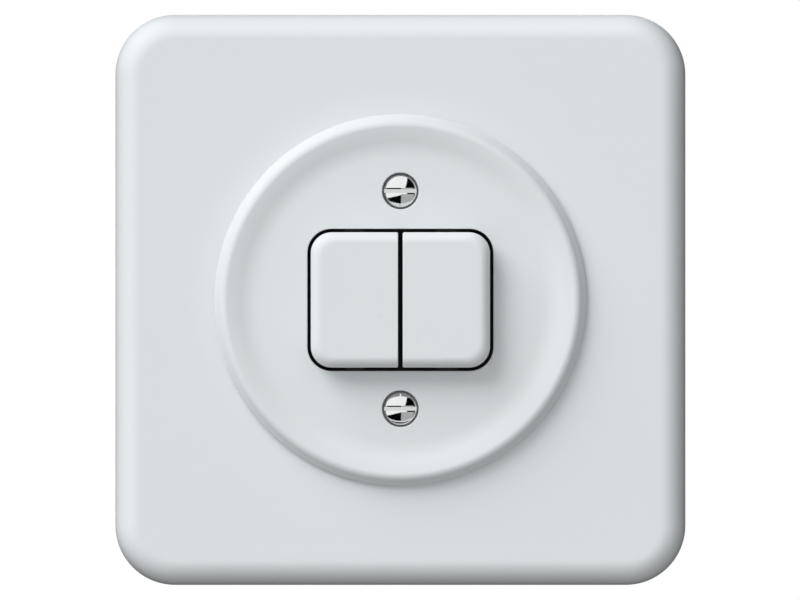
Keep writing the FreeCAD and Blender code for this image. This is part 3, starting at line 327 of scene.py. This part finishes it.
# %% Section of the rim


def rim_section():
    """Points (radius, front) from the foot on the plate to the edge of the dish floor."""
    base = CREST - RIM_ROUND
    band = math.radians(BAND_ANGLE)
    rim_edge = (DISC_RADIUS - BAND_WIDTH, base + RIM_ROUND * math.cos(band))
    crest_r = rim_edge[0] - RIM_ROUND * math.sin(band)
    band_low = rim_edge[1] - BAND_WIDTH * math.tan(band)
    points = [(RING_OUTSIDE, PLATE_FACE)]
    points += arc(DISC_RADIUS - RIM_FOOT, PLATE_FACE + RIM_FOOT, RIM_FOOT, -90, 0, 4)
    start = 90 - BAND_ANGLE
    corner = RIM_TIGHT * math.tan((math.radians(90) - band) / 2)
    points += arc(DISC_RADIUS - RIM_TIGHT, band_low - corner, RIM_TIGHT, 0, start, 6)
    points.append((rim_edge[0] + RIM_GROOVE, rim_edge[1] - GROOVE_FOOT))
    points.append((rim_edge[0], rim_edge[1] - GROOVE_LIP))
    points += arc(crest_r, base, RIM_ROUND, start, 90, 16)
    points += arc(crest_r, base, RIM_ROUND, 90, 90 + CREST_TURN, 6)[1:]
    hub = SLOPE_ROUND - RIM_ROUND
    turn = math.radians(CREST_TURN)
    hub_r, hub_f = crest_r + hub * math.sin(turn), base - hub * math.cos(turn)
    points += arc(hub_r, hub_f, SLOPE_ROUND, 90 + CREST_TURN, 90 + DISH_ANGLE, 8)[1:]
    slope_r, slope_f = points[-1]
    angle = math.radians(DISH_ANGLE)
    ease = (slope_f - FLOOR) / (1 - math.cos(angle))
    points += arc(slope_r - ease * math.sin(angle), FLOOR + ease, ease, -90 + DISH_ANGLE, -90, 14)[1:]
    points.append((points[-1][0] - HOLD, FLOOR))
    return points


section = rim_section()
print("rim section", len(section), "points, floor at", round(section[-1][1] / MM, 2), "mm")

# %% Build the disc


def window_loop(outset, front):
    x, z = WINDOW_X + outset, WINDOW_Z + outset
    return round_box((-x, x), (-z, z), [WINDOW_CORNER + outset] * 4, front, arc_steps=16, side_steps=8)


def eased(edge, front):
    """Pairs (outset, front) round a small edge where a wall goes down from a face."""
    return [(edge + HOLD, front)] + [(outset, front - drop) for outset, drop in quarter(edge)]


def make_disc():
    bm = bmesh.new()
    lathe = [(RING_INSIDE, UNDER), (RING_INSIDE, UNDER - RING_DEPTH), (RING_OUTSIDE, UNDER - RING_DEPTH)]
    turned = skin(bm, [circle(r, f) for r, f in lathe + section])
    walls = [window_loop(outset, f) for outset, f in eased(WINDOW_EDGE, FLOOR)]
    walls.append(window_loop(0, UNDER - GUIDE_DEPTH))
    walls.append(window_loop(GUIDE_WALL, UNDER - GUIDE_DEPTH))
    walls.append(window_loop(GUIDE_WALL, UNDER))
    window = skin(bm, walls)
    above, below = [turned[-1], window[0]], [turned[0], window[-1]]
    for z in (SCREW_Z, -SCREW_Z):
        steps = [(RECESS + outset, f) for outset, f in eased(RECESS_EDGE, FLOOR)]
        steps += [(RECESS, FLOOR - RECESS_DEPTH), (SCREW_HOLE, FLOOR - RECESS_DEPTH),
                  (SCREW_HOLE, PILLAR_END), (PILLAR, PILLAR_END), (PILLAR, UNDER)]
        recess = skin(bm, [circle(r, f, (0, z), SMALL_POINTS) for r, f in steps])
        above.append(recess[0])
        below.append(recess[-1])
    fill(bm, *above)
    fill(bm, *below)
    return make_piece(bm, "dished_disc", "centre_disc", "switch_body", sharp=24)


disc = make_disc()

# %% [markdown]
# ## The buttons
# Each button is a hollow cap with a forked stem. Its three outer edges start with a soft round, run on at a
# constant slope and end in a tight round, which catches the light as a thin bright line. The edge at the
# middle gap is almost sharp. A bevel modifier gives one radius only, so the loops follow the section instead.
# Two lugs at the foot of each cap stop it at the disc. Thin dark pads on them are painted shade, which keeps
# the narrow gap round the buttons dark.

# %% Section of a button edge
BUTTON_CORNER = 3.15 * MM
CORNER_SHRINK = 0.45
EDGE_WIDTH = 1.6 * MM
EDGE_ROUND = 1.75 * MM
EDGE_ANGLE = 46
EDGE_TIGHT = 0.22 * MM
SOFT_STEPS = 12
TIGHT_STEPS = 8
MIDDLE_ROUND = 0.14 * MM
MIDDLE_CORNER = 0.25 * MM
BUTTON_WALL = 1.5 * MM
BUTTON_DEPTH = 8.6 * MM


def edge_section():
    """Pairs (inset, drop) from the flat face to the side of a button."""
    slope = math.radians(EDGE_ANGLE)
    pairs = [(EDGE_WIDTH + HOLD, 0)]
    for step in range(SOFT_STEPS + 1):
        angle = slope * step / SOFT_STEPS
        pairs.append((EDGE_WIDTH - EDGE_ROUND * math.sin(angle), EDGE_ROUND * (1 - math.cos(angle))))
    tight_inset = EDGE_TIGHT * (1 - math.sin(slope))
    inset, drop = pairs[-1]
    drop += (inset - tight_inset) * math.tan(slope)
    for step in range(TIGHT_STEPS + 1):
        angle = slope + (math.radians(90) - slope) * step / TIGHT_STEPS
        fall = EDGE_TIGHT * (math.cos(slope) - math.cos(angle))
        pairs.append((EDGE_TIGHT * (1 - math.sin(angle)), drop + fall))
    return pairs


def middle_inset(drop):
    """How far the edge at the middle gap is rounded in at a drop below the face."""
    left = max(MIDDLE_ROUND - drop, 0)
    return MIDDLE_ROUND - math.sqrt(MIDDLE_ROUND ** 2 - left ** 2)


def inset_at(drop):
    """The inset of the outer edges at a drop below the face."""
    for (inset_a, drop_a), (inset_b, drop_b) in zip(edge, edge[1:]):
        if drop_a <= drop <= drop_b and drop_b > drop_a:
            return inset_a + (inset_b - inset_a) * (drop - drop_a) / (drop_b - drop_a)
    return edge[-1][0]


edge = edge_section()
print("button edge drops", round(edge[-1][1] / MM, 2), "mm over", EDGE_WIDTH / MM, "mm")

# %% Build the buttons
STEM_X = 2.2 * MM
STEM_Z = 3.3 * MM
FORK_HALF = 0.8 * MM
FORK_DEPTH = 3 * MM
LUG_HALF = 1.5 * MM
LUG_THICK = 1 * MM
LUG_REACH = 1.2 * MM
PAD_THICK = 0.06 * MM


def button_loop(side, box, inset, middle, front):
    """The outline of a button; side is 1 on the right, where the middle gap is on its left."""
    near, far = box["near"] + middle, box["far"] - inset
    high = box["high"] - inset
    outer = BUTTON_CORNER - inset * CORNER_SHRINK
    if side > 0:
        return round_box((near, far), (-high, high), [outer, MIDDLE_CORNER, MIDDLE_CORNER, outer], front)
    return round_box((-far, -near), (-high, high), [MIDDLE_CORNER, outer, outer, MIDDLE_CORNER], front)


def make_button(tag, side):
    low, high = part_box(tag + "_button")
    box = {"near": min(abs(low[0]), abs(high[0])), "far": max(abs(low[0]), abs(high[0])),
           "high": high[2] - LUG_REACH}
    top = -low[1]
    bm = bmesh.new()
    drops = {drop for inset, drop in edge} | {drop for inset, drop in quarter(MIDDLE_ROUND)[1:]}
    loops = [button_loop(side, box, EDGE_WIDTH + HOLD, MIDDLE_ROUND + HOLD, top)]
    for drop in sorted(drops):
        loops.append(button_loop(side, box, inset_at(drop), middle_inset(drop), top - drop))
    skirt = top - BUTTON_DEPTH
    loops.append(button_loop(side, box, 0, 0, skirt))
    outside = skin(bm, loops)
    fill(bm, outside[0])
    reach = box["high"] - BUTTON_WALL
    spread = sorted((side * (box["near"] + BUTTON_WALL), side * (box["far"] - BUTTON_WALL)))
    ceiling = top - BUTTON_WALL
    inside = skin(bm, [round_box(spread, (-reach, reach), [MIDDLE_CORNER] * 4, front)
                       for front in (skirt, ceiling)])
    fill(bm, outside[-1], inside[0])
    fill(bm, inside[1])
    middle = side * (box["near"] + box["far"]) / 2
    stem_end = high[1]
    into = BUTTON_WALL / 5
    block(bm, (middle - STEM_X, -ceiling - into, -STEM_Z), (middle + STEM_X, stem_end - FORK_DEPTH, STEM_Z))
    for x in (middle - STEM_X, middle + FORK_HALF):
        block(bm, (x, stem_end - FORK_DEPTH - into, -STEM_Z), (x + STEM_X - FORK_HALF, stem_end, STEM_Z))
    # Thin dark pads on the lugs: painted shade, which keeps the gap round the cap dark.
    pads = bmesh.new()
    lug_face = -skirt - LUG_THICK
    for z in (box["high"] - into, -box["high"] - LUG_REACH):
        block(bm, (middle - LUG_HALF, lug_face, z), (middle + LUG_HALF, -skirt, z + LUG_REACH + into))
    for z in (box["high"] + into / 4, -box["high"] - LUG_REACH):
        block(pads, (middle - LUG_HALF, lug_face - PAD_THICK, z),
              (middle + LUG_HALF, lug_face, z + LUG_REACH - into / 4))
    return (make_piece(bm, tag + "_push_cap", tag + "_button", tag + "_button_body", sharp=26),
            make_piece(pads, tag + "_gap_shade_pads", None, tag + "_button_body"))


buttons, gap_shade_pads = zip(make_button("left", -1), make_button("right", 1))

# %% [markdown]
# ## The cover screws
# The screws have nickel plated heads with a domed top and one straight slot. The dome matters: a flat mirror
# would show one grey tone, while the dome gathers a wide part of the room, and even the edges of the buttons.
# The head is turned, and the slot is cut with a boolean, because a straight cut across a turned form is
# exactly what a saw does. The cutter follows the dome, so the mouth of the slot gets one even chamfer.

# %% Cover screws
HEAD_ROUND = 0.2 * MM
HEAD_CROWN = 0.8 * MM
HEAD_RIM = 0.22 * MM
HEAD_STEPS = 16
SHANK = 1.42 * MM
SLOT_WIDTH = 0.56 * MM
SLOT_DEPTH = 1.4 * MM
SLOT_EDGE = 0.27 * MM
SLOT_SLOPE = 20
SLOT_PAST_HEAD = 1.1
SLOT_SECTIONS = 40
SLOT_SHARP = 15


def slot_cutter(dome, reach, bottom, z):
    """A saw cut along x, with a chamfer of one width where it meets the dome."""
    loops = []
    drop = SLOT_EDGE * math.tan(math.radians(SLOT_SLOPE))
    wall, outside = SLOT_WIDTH / 2, SLOT_WIDTH / 2 + SLOT_EDGE * 2
    for n in range(SLOT_SECTIONS + 1):
        x = reach * (2 * n / SLOT_SECTIONS - 1)
        mouth = dome(x)
        side = [(wall, bottom), (wall, mouth - drop), (outside, mouth + drop), (outside, mouth + MM)]
        loops.append([(x, -f, z + w) for w, f in side] + [(x, -f, z - w) for w, f in reversed(side)])
    bm = bmesh.new()
    rows = skin(bm, loops)
    bm.faces.new(rows[0])
    bm.faces.new(rows[-1][::-1])
    bmesh.ops.recalc_face_normals(bm, faces=bm.faces)
    mesh = bpy.data.meshes.new("slot_cut")
    bm.to_mesh(mesh)
    bm.free()
    saw = bpy.data.objects.new("slot_cut", mesh)
    bpy.context.scene.collection.objects.link(saw)
    return saw


def make_screw(tag, z):
    low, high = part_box(tag + "_cover_screw")
    radius = high[0]
    rim = -low[1] - HEAD_RIM
    top = rim + HEAD_CROWN
    seat = FLOOR - RECESS_DEPTH
    crown = (radius ** 2 + HEAD_CROWN ** 2) / (2 * HEAD_CROWN)

    def dome(r):
        return top - crown + math.sqrt(max(crown ** 2 - r ** 2, 0))

    bm = bmesh.new()
    tilt = math.asin(radius / crown)
    reach = radius - HEAD_ROUND * (1 - math.sin(tilt))
    section = [(r, dome(r)) for r in [reach * step / HEAD_STEPS for step in range(1, HEAD_STEPS + 1)]]
    section += arc(radius - HEAD_ROUND, dome(reach) - HEAD_ROUND * math.cos(tilt), HEAD_ROUND,
                   90 - math.degrees(tilt), 0, 6)[1:]
    section += [(radius, seat), (SHANK, seat), (SHANK, -high[1])]
    rows = skin(bm, [circle(r, f, (0, z), SMALL_POINTS) for r, f in section])
    bm.faces.new(rows[0])
    bm.faces.new(rows[-1][::-1])
    screw = make_piece(bm, tag + "_slotted_screw", tag + "_cover_screw", "switch_body", sharp=35,
                       place=(0, -rim, z))
    saw = slot_cutter(dome, SLOT_PAST_HEAD * radius, top - SLOT_DEPTH, z)
    slot = screw.modifiers.new("slot", "BOOLEAN")
    slot.operation = "DIFFERENCE"
    slot.solver = "EXACT"
    slot.object = saw
    screw.modifiers.move(1, 0)
    bpy.context.view_layer.update()
    cut = bpy.data.meshes.new_from_object(screw.evaluated_get(bpy.context.evaluated_depsgraph_get()))
    screw.modifiers.remove(screw.modifiers["slot"])
    screw.data = cut
    cut.set_sharp_from_angle(angle=math.radians(SLOT_SHARP))
    bpy.data.objects.remove(saw)
    print(tag, "head rises", round(HEAD_CROWN / MM, 2), "mm over its rim")
    return screw


screws = [make_screw("upper", SCREW_Z), make_screw("lower", -SCREW_Z)]

# %% [markdown]
# ## The return springs
# A compression spring stands round each stem. Its wire is round, and its first and last turns lie flat, as on
# a ground spring. The wire is swept along a helix with a small pitch at the ends and a larger one between
# them. When the button is pressed the real spring gets shorter. Here it keeps its length, rides on the switch
# body and has a mesh of its own.

# %% Return springs
WIRE_RADIUS = 0.3 * MM
WIRE_POINTS = 12
SPRING_TURNS = 5.5
FLAT_TURNS = 1
TURN_STEPS = 48


def make_spring(tag):
    low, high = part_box(tag + "_return_spring")
    middle = (low[0] + high[0]) / 2
    radius = (high[0] - low[0]) / 2 - WIRE_RADIUS
    start, end = low[1] + WIRE_RADIUS, high[1] - WIRE_RADIUS
    flat = 2 * WIRE_RADIUS * FLAT_TURNS
    bm = bmesh.new()
    loops = []
    total = round(SPRING_TURNS * TURN_STEPS)
    for step in range(total + 1):
        turn = step / TURN_STEPS
        if turn < FLAT_TURNS:
            along = flat * turn / FLAT_TURNS
        elif turn > SPRING_TURNS - FLAT_TURNS:
            along = end - start - flat * (SPRING_TURNS - turn) / FLAT_TURNS
        else:
            share = (turn - FLAT_TURNS) / (SPRING_TURNS - 2 * FLAT_TURNS)
            along = flat + (end - start - 2 * flat) * share
        angle = 2 * math.pi * turn
        out = Vector((math.cos(angle), 0, math.sin(angle)))
        centre = Vector((middle, start + along, 0)) + out * radius
        loops.append([centre + out * WIRE_RADIUS * math.cos(a) + FRONT * WIRE_RADIUS * math.sin(a)
                      for a in [2 * math.pi * n / WIRE_POINTS for n in range(WIRE_POINTS)]])
    rows = skin(bm, loops)
    bm.faces.new(rows[0])
    bm.faces.new(rows[-1][::-1])
    spring = make_piece(bm, tag + "_coil_spring", tag + "_return_spring", "switch_body", sharp=50)
    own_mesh(spring)
    return spring


springs = [make_spring("left"), make_spring("right")]

# %% [markdown]
# ## Writing materials as sums
# A material is a small network of nodes. Written link by link it is hard to read, so one small class stands
# for a value in the network: adding or multiplying two such values adds the Math node that does it. A second
# class holds the network itself, and its method node makes every other kind of node.

# %% Values and networks


class Wire:
    """A value in a network of nodes, which can be used in sums."""

    def __init__(self, network, socket):
        self.network = network
        self.socket = socket

    def maths(self, operation, first, second):
        return self.network.node("ShaderNodeMath", {"operation": operation}, {0: first, 1: second})

    def __add__(self, other):
        return self.maths("ADD", self, other)

    def __radd__(self, other):
        return self.maths("ADD", other, self)

    def __sub__(self, other):
        return self.maths("SUBTRACT", self, other)

    def __rsub__(self, other):
        return self.maths("SUBTRACT", other, self)

    def __mul__(self, other):
        return self.maths("MULTIPLY", self, other)

    def __rmul__(self, other):
        return self.maths("MULTIPLY", other, self)


class Network:
    """The nodes of a material or of the world."""

    def __init__(self, owner):
        owner.use_nodes = True
        self.owner = owner
        self.tree = owner.node_tree

    def feed(self, node, sockets):
        for name, given in sockets.items():
            if isinstance(given, Wire):
                self.tree.links.new(given.socket, node.inputs[name])
            else:
                node.inputs[name].default_value = given

    def node(self, kind, settings, sockets, output=0):
        """Adds a node: its settings first, then the values or links of its sockets."""
        made = self.tree.nodes.new(kind)
        for name, given in settings.items():
            setattr(made, name, given)
        self.feed(made, sockets)
        return Wire(self, made.outputs[output])

    def shade(self, **sockets):
        """Sets or links the sockets of the Principled shader, written with _ for a space."""
        shader = self.tree.nodes["Principled BSDF"]
        self.feed(shader, {name.replace("_", " "): given for name, given in sockets.items()})


def new_finish(name):
    return Network(bpy.data.materials.new(name))


def rgba(colour, times=1.0):
    return tuple(min(part * times, 1.0) for part in colour) + (1.0,)


def blend(net, share, first, second):
    """A mix of two colours; 6, 7 and 2 are the colour sockets of the Mix node."""
    return net.node("ShaderNodeMix", {"data_type": "RGBA"}, {0: share, 6: first, 7: second}, 2)


print("classes ready")

# %% [markdown]
# ## Moulded plastics
# The white plastics are smooth and cool white, with a soft shine. Close up a moulding is never one flat tone:
# the colour drifts a little over a few centimetres, the shine varies, and the skin has a very fine ripple.
# Noise at three sizes makes these, each so weak that it shows only where light grazes the surface.

# %% Plastics
WHITE = (0.688, 0.716, 0.731)
DISC_WHITE = (0.674, 0.702, 0.716)
DRIFT_NOISE, SHINE_NOISE, RIPPLE_NOISE = 45.0, 320.0, 1400.0


def moulded(name, colour, roughness, drift=0.012, ripple=0.04, sheen=0.5):
    """A moulded plastic with a little drift in its colour and shine and a fine ripple in its skin."""
    net = new_finish(name)
    place = net.node("ShaderNodeTexCoord", {}, {}, "Object")
    broad = net.node("ShaderNodeTexNoise", {}, {"Vector": place, "Scale": DRIFT_NOISE, "Detail": 2.0})
    middle = net.node("ShaderNodeTexNoise", {}, {"Vector": place, "Scale": SHINE_NOISE, "Detail": 3.0})
    grain = net.node("ShaderNodeTexNoise", {}, {"Vector": place, "Scale": RIPPLE_NOISE, "Detail": 2.0})
    tone = blend(net, broad * 0.7 + middle * 0.3, rgba(colour, 1 - drift), rgba(colour, 1 + drift))
    relief = net.node("ShaderNodeBump", {}, {"Strength": ripple, "Distance": 0.02 * MM,
                                             "Height": grain * 0.6 + middle * 0.4})
    net.shade(Base_Color=tone, Roughness=roughness + (middle - 0.5) * 0.12, Normal=relief,
              Specular_IOR_Level=sheen)
    return net.owner


plate_white = moulded("plate_white", WHITE, 0.36, sheen=0.2)
disc_white = moulded("disc_white", DISC_WHITE, 0.34, sheen=0.3)
button_white = moulded("button_white", WHITE, 0.30, sheen=0.3)
grey_moulding = moulded("grey_moulding", (0.08, 0.08, 0.085), 0.5, 0.04, 0.2)
dark_moulding = moulded("dark_moulding", (0.035, 0.035, 0.038), 0.42, 0.12, 0.25)
natural_nylon = moulded("natural_nylon", (0.74, 0.70, 0.60), 0.45, 0.04, 0.15)
print("plastics:", plate_white.name, disc_white.name, button_white.name)

# %% [markdown]
# ## Metals
# The screw heads are polished and plated, the support plate is zinc plated sheet with a cloudy bloom, and the
# contacts are brass, silver and spring steel. All share one recipe: noise clouds the colour and the shine,
# and a stretched noise leaves the fine lines of rolling or drawing. Only the numbers differ.

# %% Metals
LINE_NOISE = 2600.0


def metal(name, colour, roughness, cloud=0.06, cloud_scale=180.0, lines=0.0, stretch=(1, 1, 1)):
    """A metal with a cloudy tone and fine lines along its short stretch, which lines makes deeper."""
    net = new_finish(name)
    place = net.node("ShaderNodeTexCoord", {}, {}, "Object")
    bloom = net.node("ShaderNodeTexNoise", {}, {"Vector": place, "Scale": cloud_scale, "Detail": 4.0})
    drawn = net.node("ShaderNodeVectorMath", {"operation": "MULTIPLY"}, {0: place, 1: stretch})
    streak = net.node("ShaderNodeTexNoise", {}, {"Vector": drawn, "Scale": LINE_NOISE, "Detail": 2.0})
    tone = blend(net, bloom, rgba(colour, 1 - cloud), rgba(colour, 1 + cloud))
    relief = net.node("ShaderNodeBump", {}, {"Strength": 0.1 + lines, "Distance": 0.01 * MM,
                                             "Height": streak * 0.7 + bloom * 0.3})
    net.shade(Base_Color=tone, Metallic=1.0, Roughness=roughness + (bloom - 0.5) * 0.16, Normal=relief)
    return net.owner


nickel = metal("nickel_plate", (0.70, 0.70, 0.68), 0.2)
zinc = metal("zinc_sheet", (0.60, 0.61, 0.63), 0.38, 0.12, 240.0, 0.25, (1, 1, 0.08))
plain_steel = metal("plain_steel", (0.50, 0.51, 0.53), 0.3, 0.06, 300.0, 0.15, (0.1, 1, 1))
spring_steel = metal("spring_wire", (0.36, 0.37, 0.39), 0.28)
silver = metal("silver_contact", (0.80, 0.79, 0.75), 0.25, 0.08, 900.0)
brass = metal("rolled_brass", (0.69, 0.51, 0.22), 0.28, 0.08, 260.0, 0.2, (1, 1, 0.1))
print("metals:", nickel.name, zinc.name, brass.name)

# %% [markdown]
# ## The face of a screw
# A turned head keeps fine rings from the tool, which smear a reflection sideways, and the nickel over them
# gathers a few hair scratches. The rings come from the distance to the middle of the head: each screw's own
# origin lies there, so a sine of that distance gives even rings with no picture of them.

# %% Screw face
TOOL_RINGS = 60000.0
HAIR_NOISE, BLOOM_NOISE = 5200.0, 900.0


def turned_nickel():
    net = new_finish("turned_nickel")
    place = net.node("ShaderNodeTexCoord", {}, {}, "Object")
    flat = net.node("ShaderNodeVectorMath", {"operation": "MULTIPLY"}, {0: place, 1: (1, 0, 1)})
    reach = net.node("ShaderNodeVectorMath", {"operation": "LENGTH"}, {0: flat}, "Value")
    rings = net.node("ShaderNodeMath", {"operation": "SINE"}, {0: reach * TOOL_RINGS})
    crossed = net.node("ShaderNodeVectorMath", {"operation": "MULTIPLY"}, {0: place, 1: (0.15, 1, 1)})
    hair = net.node("ShaderNodeTexNoise", {}, {"Vector": crossed, "Scale": HAIR_NOISE, "Detail": 3.0})
    bloom = net.node("ShaderNodeTexNoise", {}, {"Vector": place, "Scale": BLOOM_NOISE, "Detail": 3.0})
    tone = blend(net, bloom, rgba((0.80, 0.81, 0.81)), rgba((0.87, 0.88, 0.88)))
    relief = net.node("ShaderNodeBump", {}, {"Strength": 0.06, "Distance": 0.01 * MM,
                                             "Height": rings * 0.35 + hair * 0.65})
    net.shade(Base_Color=tone, Metallic=1.0, Roughness=0.07 + (bloom - 0.5) * 0.06, Normal=relief)
    return net.owner


screw_nickel = turned_nickel()
print("screw face:", screw_nickel.name)

# %% [markdown]
# ## Giving every piece its finish
# The pieces made above and the nodes that keep their own mesh all get a finish by the record's material slot,
# so one short list settles the whole switch.

# %% Finishes by slot
FINISHES = {"plate_plastic": plate_white, "disc_plastic": disc_white, "button_plastic": button_white,
            "nickel": nickel, "zinc_steel": zinc, "grey_plastic": grey_moulding,
            "dark_plastic": dark_moulding, "steel": plain_steel, "spring_steel": spring_steel,
            "rocker_plastic": natural_nylon, "silver": silver, "brass": brass}


def paint(piece, finish):
    piece.data.materials.clear()
    piece.data.materials.append(finish)


paint(plate, plate_white)
paint(disc, disc_white)
for button in buttons:
    paint(button, button_white)
# The pads get the dark plastic as painted shade in the gaps round the buttons.
for pads in gap_shade_pads:
    paint(pads, dark_moulding)
for screw in screws:
    paint(screw, screw_nickel)
for spring in springs:
    paint(spring, spring_steel)

slots = {row["node"]: row["material_slot"] for row in frame["record"]["subparts"]}
for name, node in frame["nodes"].items():
    for place in node.material_slots:
        place.link = "OBJECT"
        place.material = FINISHES[slots[name]]
print("finishes on", len(slots), "nodes")

# %% [markdown]
# ## Floor and light
# The picture has a pure white background and a large soft light that grazes the plate from the upper left,
# so right and lower edges fall into shade and the disc and the buttons throw soft shadows to the lower right.
# The shade is filled by a broad light from the front. Two suns do this: the angle of a sun sets how soft its
# shadows are. A third sun, from behind, shows the insert and never reaches the front. The floor lies well
# below the plate and gives it no light, so that the lower edges stay dark.

# %% Floor
FLOOR_DROP = 560 * MM
FLOOR_HALF = 8
FLOOR_FRONT = -0.45


def flat_card(name, corners, colour):
    """A flat sheet of one colour that belongs to the studio, not to the switch."""
    mesh = bpy.data.meshes.new(name)
    mesh.from_pydata(corners, [], [tuple(range(len(corners)))])
    card = bpy.data.objects.new(name, mesh)
    bpy.context.scene.collection.objects.link(card)
    net = new_finish(name + "_finish")
    net.shade(Base_Color=rgba(colour), Roughness=0.9)
    mesh.materials.append(net.owner)
    return card


floor_z = plate_low[2] - FLOOR_DROP
floor = flat_card("floor", [(-FLOOR_HALF, FLOOR_FRONT, floor_z), (FLOOR_HALF, FLOOR_FRONT, floor_z),
                            (FLOOR_HALF, FLOOR_HALF, floor_z), (-FLOOR_HALF, FLOOR_HALF, floor_z)],
                  (0.85, 0.86, 0.87))
floor.visible_diffuse = False
print("floor at", round(floor_z, 3))

# %% [markdown]
# A polished screw shows only what stands around it. Product photographers hang black and grey cards beside
# the camera for this, and the dark corners of the two screw heads are such cards. A light grey one in the
# middle tones down the floors of the slots. Four dark flags stand round the plate, where they keep its outer
# edges from shining. All eight are seen by reflections alone, so they neither show in the picture nor take
# light from the switch.

# %% Reflection cards
CARD_DISTANCE = 1.0
CARD_END = 4
FLAG_AWAY = 0.2
FLAG_END = 1
BLACK = 0.002
DARK = 0.02
GREY = 0.45
LIGHT = 0.78


def reflection_card(name, corners, grey):
    card = flat_card(name, corners, (0, 0, 0))
    shader = card.data.materials[0].node_tree.nodes["Principled BSDF"]
    shader.inputs["Emission Color"].default_value = rgba((grey, grey, grey))
    shader.inputs["Emission Strength"].default_value = 1
    shader.inputs["Specular IOR Level"].default_value = 0
    card.visible_camera = False
    card.visible_diffuse = False
    card.visible_shadow = False


def upright(corners):
    """Corners (x, z) of a card that hangs upright in front of the switch."""
    return [(x, -CARD_DISTANCE, z) for x, z in corners]


reflection_card("right_card", upright([(0.28, 0), (CARD_END, 0), (CARD_END, CARD_END),
                                       (1.78, CARD_END)]), BLACK)
reflection_card("left_card", upright([(-CARD_END, -CARD_END), (0.06, -CARD_END), (0.06, -0.27),
                                      (-0.44, -0.42), (-CARD_END, -1.8)]), BLACK)
reflection_card("low_card", upright([(0.06, -CARD_END), (CARD_END, -CARD_END), (CARD_END, -0.15),
                                     (0.06, -0.15)]), GREY)
reflection_card("face_card", upright([(-0.1, -0.12), (0.1, -0.12), (0.1, 0.12), (-0.1, 0.12)]), LIGHT)
for name, side, front in (("right_flag", FLAG_AWAY, -0.12), ("left_flag", -FLAG_AWAY, -0.05)):
    reflection_card(name, [(side, front, -FLAG_END), (side, FLAG_END, -FLAG_END),
                           (side, FLAG_END, FLAG_END), (side, front, FLAG_END)], DARK)
for name, height, front in (("low_flag", -FLAG_AWAY, -0.12), ("high_flag", FLAG_AWAY, -0.05)):
    reflection_card(name, [(-FLAG_END, front, height), (FLAG_END, front, height),
                           (FLAG_END, FLAG_END, height), (-FLAG_END, FLAG_END, height)], DARK)
print("reflection cards ready")

# %% Lamps


def soft_sun(name, origin, energy, angle):
    """A sun that shines from a direction, with an angle in degrees that softens its shadows."""
    data = bpy.data.lights.new(name, "SUN")
    data.energy = energy
    data.angle = math.radians(angle)
    lamp = bpy.data.objects.new(name, data)
    lamp.rotation_euler = (-Vector(origin)).to_track_quat("-Z", "Y").to_euler()
    lamp.visible_glossy = False
    bpy.context.scene.collection.objects.link(lamp)


soft_sun("window_light", origin=(-0.57, -0.434, 0.7), energy=2.95, angle=45)
soft_sun("front_fill", origin=(0, -1, 0), energy=1.8, angle=120)
soft_sun("rear_fill", origin=(0.2, 0.9, 0.35), energy=1.5, angle=20)
print("three lamps")

# %% [markdown]
# The world does two jobs. To the camera and to reflections it is plain white, so that the background is white
# and metal shows it. To everything else it is a weak grey, which sets how dark the shaded edges are.

# %% World
AMBIENT = 0.02
world = bpy.data.worlds.new("studio")
bpy.context.scene.world = world
sky = Network(world)
rays = [sky.node("ShaderNodeLightPath", {}, {}, name)
        for name in ("Is Camera Ray", "Is Glossy Ray", "Is Transmission Ray")]
seen = sky.node("ShaderNodeMath", {"operation": "MAXIMUM"}, {0: rays[0], 1: rays[1]})
seen = sky.node("ShaderNodeMath", {"operation": "MAXIMUM"}, {0: seen, 1: rays[2]})
background = sky.tree.nodes["Background"]
sky.feed(background, {"Color": (1, 1, 1, 1), "Strength": AMBIENT + (1 - AMBIENT) * seen})
bpy.context.scene.view_settings.view_transform = "Standard"
print("world ready")
